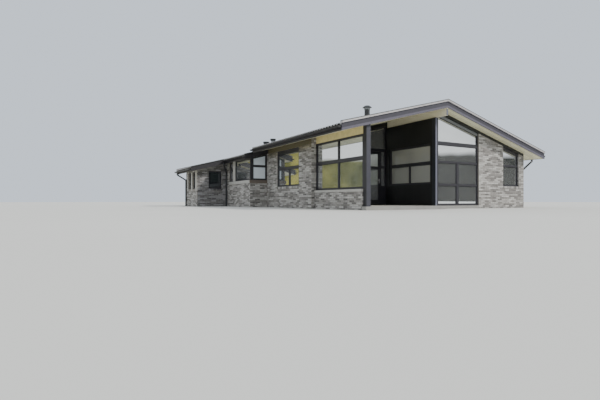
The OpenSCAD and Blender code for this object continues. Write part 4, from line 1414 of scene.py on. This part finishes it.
def pipeClip():
    inner, high = pipeFit["radius"], pipeFit["height"] / 2
    outer, stem, wall = inner + pipeFit["thickness"], pipeFit["stem"] / 2, pipeFit["toWall"]
    thickness, width, height = pipeFit["foot"]
    foot = ((wall - thickness, -width / 2, -height / 2), (wall, width / 2, height / 2))
    bar = ((inner + pipeFit["stemInset"], -stem, -stem), (wall, stem, stem))
    band = [
        [(x, y, z) for x, y in circle(radius, pipeFit["sides"])]
        for radius, z in ((inner, -high), (outer, -high), (outer, high), (inner, high))
    ]
    return templateMesh("pipeClip", joined([
        ringShell(band, looped=True),
        boardShell(*bar, pipeFit["chamfer"]),
        boardShell(*foot, pipeFit["chamfer"]),
    ]))


repeatTemplate("pipeClips", pipeClip(), [
    ((x, y, z), sideTurn(side), fullSize)
    for x, y, side, heights in pipeFit["clips"]
    for z in heights
], "darkMetal")

# Screws along the verge caps, the ridge caps and the barge boards
fixings = {
    "width": 0.016,
    "height": 0.006,
    "step": 0.55,
    "inset": 0.12,
    "capRise": 0.060,
    "bargeDrop": 0.205,
    "verges": [  # cap's y, barge's y, drop, sense, reach to the left and right
        (-0.41, -0.45, 0.0, -1, 4.62, 5.98),
        (12.46, 12.5, rearDrop, 1, 6.67, 5.98),
    ],
    "ridges": [(-0.2, 6.5, 0.0), (6.8, 12.3, rearDrop)],
    "ridgeOut": 0.10,
    "ridgeRise": 0.010,
}


# Places across a verge, with the side of each
def acrossVerge(leftReach, rightReach):
    for side, reach in ((-1, leftReach), (1, rightReach)):
        for x in spread(fixings["inset"], reach - fixings["inset"], fixings["step"]):
            yield side, side * x


def capScrewSpots():
    for capY, bargeY, drop, sense, *reaches in fixings["verges"]:
        for side, x in acrossVerge(*reaches):
            yield onRoof(x, capY, drop, fixings["capRise"]), sideTurn(side, house["pitch"]), fullSize
    for front, back, drop in fixings["ridges"]:
        for side in (-1, 1):
            for y in spread(front, back, fixings["step"]):
                spot = onRoof(side * fixings["ridgeOut"], y, drop, fixings["ridgeRise"])
                yield spot, sideTurn(side, house["pitch"]), fullSize


def bargeScrewSpots():
    for capY, bargeY, drop, sense, *reaches in fixings["verges"]:
        for side, x in acrossVerge(*reaches):
            yield onRoof(x, bargeY, drop, -fixings["bargeDrop"]), (-sense * math.pi / 2, 0.0, 0.0), fullSize


screwHead = domeTemplate("screwHead", fixings["width"] / 2, fixings["height"])
repeatTemplate("capScrews", screwHead, list(capScrewSpots()), "screwCap")
repeatTemplate("bargeScrews", screwHead, list(bargeScrewSpots()), "screwCap")

# Plate on the ridge beam's end, with four bolts
beamEnd = {
    "halfWidth": 0.039,
    "foot": 3.394,
    "head": 3.618,
    "face": -0.4105,
    "thickness": 0.004,
    "chamfer": 0.001,
    "bolts": [(-0.024, 3.43), (0.024, 3.43), (-0.024, 3.58), (0.024, 3.58)],
    "boltRadius": 0.010,
    "boltHeight": 0.008,
    "boltSides": 6,
}


def addBeamEnd():
    face = beamEnd["face"] - beamEnd["thickness"]
    low = (-beamEnd["halfWidth"], face, beamEnd["foot"])
    high = (beamEnd["halfWidth"], beamEnd["face"], beamEnd["head"])
    addPiece("beamEndPlate", boardShell(low, high, beamEnd["chamfer"]), "ridgePostPaint")
    bolt = domeTemplate("bolt", beamEnd["boltRadius"], beamEnd["boltHeight"], beamEnd["boltSides"])
    spots = [((x, face, z), (math.pi / 2, 0.0, 0.0), fullSize) for x, z in beamEnd["bolts"]]
    repeatTemplate("beamEndBolts", bolt, spots, "darkMetal")


addBeamEnd()

# Bar that throws rain off the foot of the terrace door, with its section as (share of out, up)
weatherBar = {
    "ends": (-1.28, -0.47),
    "face": 2.7605,
    "out": 0.026,
    "section": [(0.0, 0.155), (0.0, 0.205), (0.35, 0.198), (1.0, 0.172), (1.0, 0.160), (0.85, 0.155)],
}


def addWeatherBar():
    rings = [
        [(x, weatherBar["face"] - weatherBar["out"] * share, z) for share, z in weatherBar["section"]]
        for x in weatherBar["ends"]
    ]
    addPiece("doorWeatherBar", ringShell(rings), "darkMetal", body="terrace_door")


addWeatherBar()

# Cone of flashing at the foot of each roof pipe, and seams round the flue
roofPipes = {
    "flue": (-0.325, 3.75, 0.12, 0.0),  # x, y, radius, drop
    "vents": [(-3.725, 7.08, 0.095, rearDrop), (-2.82, 8.22, 0.095, rearDrop)],
    "skirt": [(0.07, 0.0), (0.021, 0.02)],  # out and up, along the slope
    "collar": [(0.006, 0.0), (0.001, 0.006)],  # and level
    "rise": 0.06,
    "offDeck": 0.006,
    "seams": [4.02, 4.18, 4.335],
    "seam": [(0.0005, 0.0), (0.003, 0.001), (0.003, 0.007), (0.0005, 0.008)],
    "sides": 24,
}


def deckAt(x, drop):
    return onRoof(x, 0.0, drop, roofPipes["offDeck"])[2]


# Level rings round a pipe, from a profile of (out, up) over a height
def levelRings(x, y, radius, z, profile):
    return [
        [(px, py, z + up) for px, py in circle(radius + out, roofPipes["sides"], x, y)] for out, up in profile
    ]


def flashing(x, y, radius, drop):
    skirt = [
        [(px, py, deckAt(px, drop) + up) for px, py in circle(radius + out, roofPipes["sides"], x, y)]
        for out, up in roofPipes["skirt"]
    ]
    top = deckAt(x, drop) + roofPipes["rise"]
    return ringShell(skirt + levelRings(x, y, radius, top, roofPipes["collar"]))


def flueSeam(height):
    x, y, radius, drop = roofPipes["flue"]
    return ringShell(levelRings(x, y, radius, height, roofPipes["seam"]))


def addFlashings():
    cones = [flashing(*pipe) for pipe in [roofPipes["flue"]] + roofPipes["vents"]]
    seams = [flueSeam(height) for height in roofPipes["seams"]]
    addPiece("pipeFlashings", joined(cones + seams), "darkMetal")


addFlashings()
print("fittings done")

# Camera, level and low in front of the house
view = {
    "eye": (-11.553, -16.721, 0.33),
    "heading": 29.4,  # degrees
    "lens": 24.6,
    "sensor": 36.0,
    "clip": 300.0,
}


def addCamera():
    data = bpy.data.cameras.new("camera")
    data.lens = view["lens"]
    data.sensor_width = view["sensor"]
    data.clip_end = view["clip"]
    camera = linkedObject("camera", data)
    camera.location = view["eye"]
    camera.rotation_euler = (math.radians(90), 0.0, -math.radians(view["heading"]))
    bpy.context.scene.camera = camera


# Soft light that is uneven low down, for the glass to mirror. The camera sees the plain backdrop
softLight = {
    "strength": 1.12,
    "backdrop": (0.74, 0.82, 0.92),
    "upper": [(0.115, (0.93, 0.95, 0.95)), (0.6, (0.96, 1.02, 1.10))],
    "lowRear": [(0.2, (0.12, 0.13, 0.05)), (0.275, (0.30, 0.28, 0.07)), (0.5, (0.08, 0.08, 0.04))],
    "lowFront": [(0.2, (0.09, 0.12, 0.12)), (0.5, (0.05, 0.06, 0.055)), (0.7, (0.012, 0.014, 0.010))],
    "turnover": 4.0,  # how sharply the lower light changes from front to rear
    "mottle": [(0.35, (0.45, 0.5, 0.4)), (0.65, (1.5, 1.45, 1.3))],
    "mottleScale": 22.0,
    "edge": [(0.2, 0.085), (0.24, 0.09), (0.262, 0.16), (0.4, 0.1), (0.6, 0.095)],  # turn, height
    "waver": 0.075,
    "waverScale": 5.0,
    "softness": 0.01,
}


# Noise over the directions in which the light lies
def unevenness(tree, direction, scale, detail):
    made = addNode(tree, "ShaderNodeTexNoise", {"Vector": direction}, Scale=scale, Detail=detail)
    return made.outputs["Fac"]


def lowerLight(tree, direction, turn, towards):
    toRear = maths(tree, "ADD", maths(tree, "MULTIPLY", towards[1], softLight["turnover"]), 0.5, clamp=True)
    front, rear = (ramp(tree, turn, softLight[key]) for key in ("lowFront", "lowRear"))
    uneven = unevenness(tree, direction, softLight["mottleScale"], detail=6.0)
    return multiplied(tree, mixed(tree, toRear, front, rear), ramp(tree, uneven, softLight["mottle"]))


# Zero below the wavering edge of the lower light, one above it
def aboveEdge(tree, direction, turn, towards):
    edge = ramp(tree, turn, [(at, grey(height)) for at, height in softLight["edge"]])
    waver = maths(tree, "SUBTRACT", unevenness(tree, direction, softLight["waverScale"], detail=3.0), 0.5)
    shift = maths(tree, "MULTIPLY", waver, softLight["waver"])
    height = maths(tree, "SUBTRACT", towards[2], maths(tree, "ADD", edge, shift))
    return maths(tree, "DIVIDE", height, softLight["softness"], clamp=True)


def addWorld():
    world = bpy.data.worlds.new("studio")
    world.use_nodes = True
    tree = world.node_tree
    direction = tree.nodes.new("ShaderNodeTexCoord").outputs["Generated"]
    towards = addNode(tree, "ShaderNodeSeparateXYZ", {"Vector": direction}).outputs
    turn = maths(tree, "ADD", maths(tree, "MULTIPLY", towards[0], 0.5), 0.5)
    lower = lowerLight(tree, direction, turn, towards)
    upper = ramp(tree, towards[2], softLight["upper"])
    light = mixed(tree, aboveEdge(tree, direction, turn, towards), lower, upper)
    seen = tree.nodes.new("ShaderNodeLightPath").outputs["Is Camera Ray"]
    shown = mixed(tree, seen, light, softLight["backdrop"])
    feed(tree, tree.nodes["Background"], {"Color": shown, "Strength": softLight["strength"]})
    bpy.context.scene.world = world


# Distant lamp, with its angles in degrees
keyLight = {
    "energy": 2.9,
    "spread": 3,
    "colour": (1.0, 0.96, 0.90),
    "tilt": 52,
    "turn": 38,
}


def addKeyLight():
    data = bpy.data.lights.new("keyLight", "SUN")
    data.energy = keyLight["energy"]
    data.angle = math.radians(keyLight["spread"])
    data.color = keyLight["colour"]
    lamp = linkedObject("keyLight", data)
    lamp.rotation_euler = (math.radians(keyLight["tilt"]), 0.0, math.radians(keyLight["turn"]))


# Pale floor of the studio, which isn't part of the house
studioFloor = {
    "size": 120.0,
    "pale": (0.60, 0.60, 0.57),
    "dark": (0.58, 0.58, 0.55),
    "patch": 3.0,
    "roughness": 0.9,
}


def addFloor():
    half = studioFloor["size"] / 2
    corners = [(-half, -half, 0), (half, -half, 0), (half, half, 0), (-half, half, 0)]
    mesh = bpy.data.meshes.new("studioFloor")
    mesh.from_pydata(corners, [], [(0, 1, 2, 3)])
    material, tree, shader = newMaterial("studioFloor", Roughness=studioFloor["roughness"])
    tones = (studioFloor["pale"], studioFloor["dark"])
    colour = blotched(tree, studioFloor["patch"], tones, stops=(0.3, 0.8))
    tree.links.new(colour, shader.inputs["Base Color"])
    mesh.materials.append(material)
    linkedObject("studioFloor", mesh)


addCamera()
addWorld()
addKeyLight()
addFloor()
print("stage done")
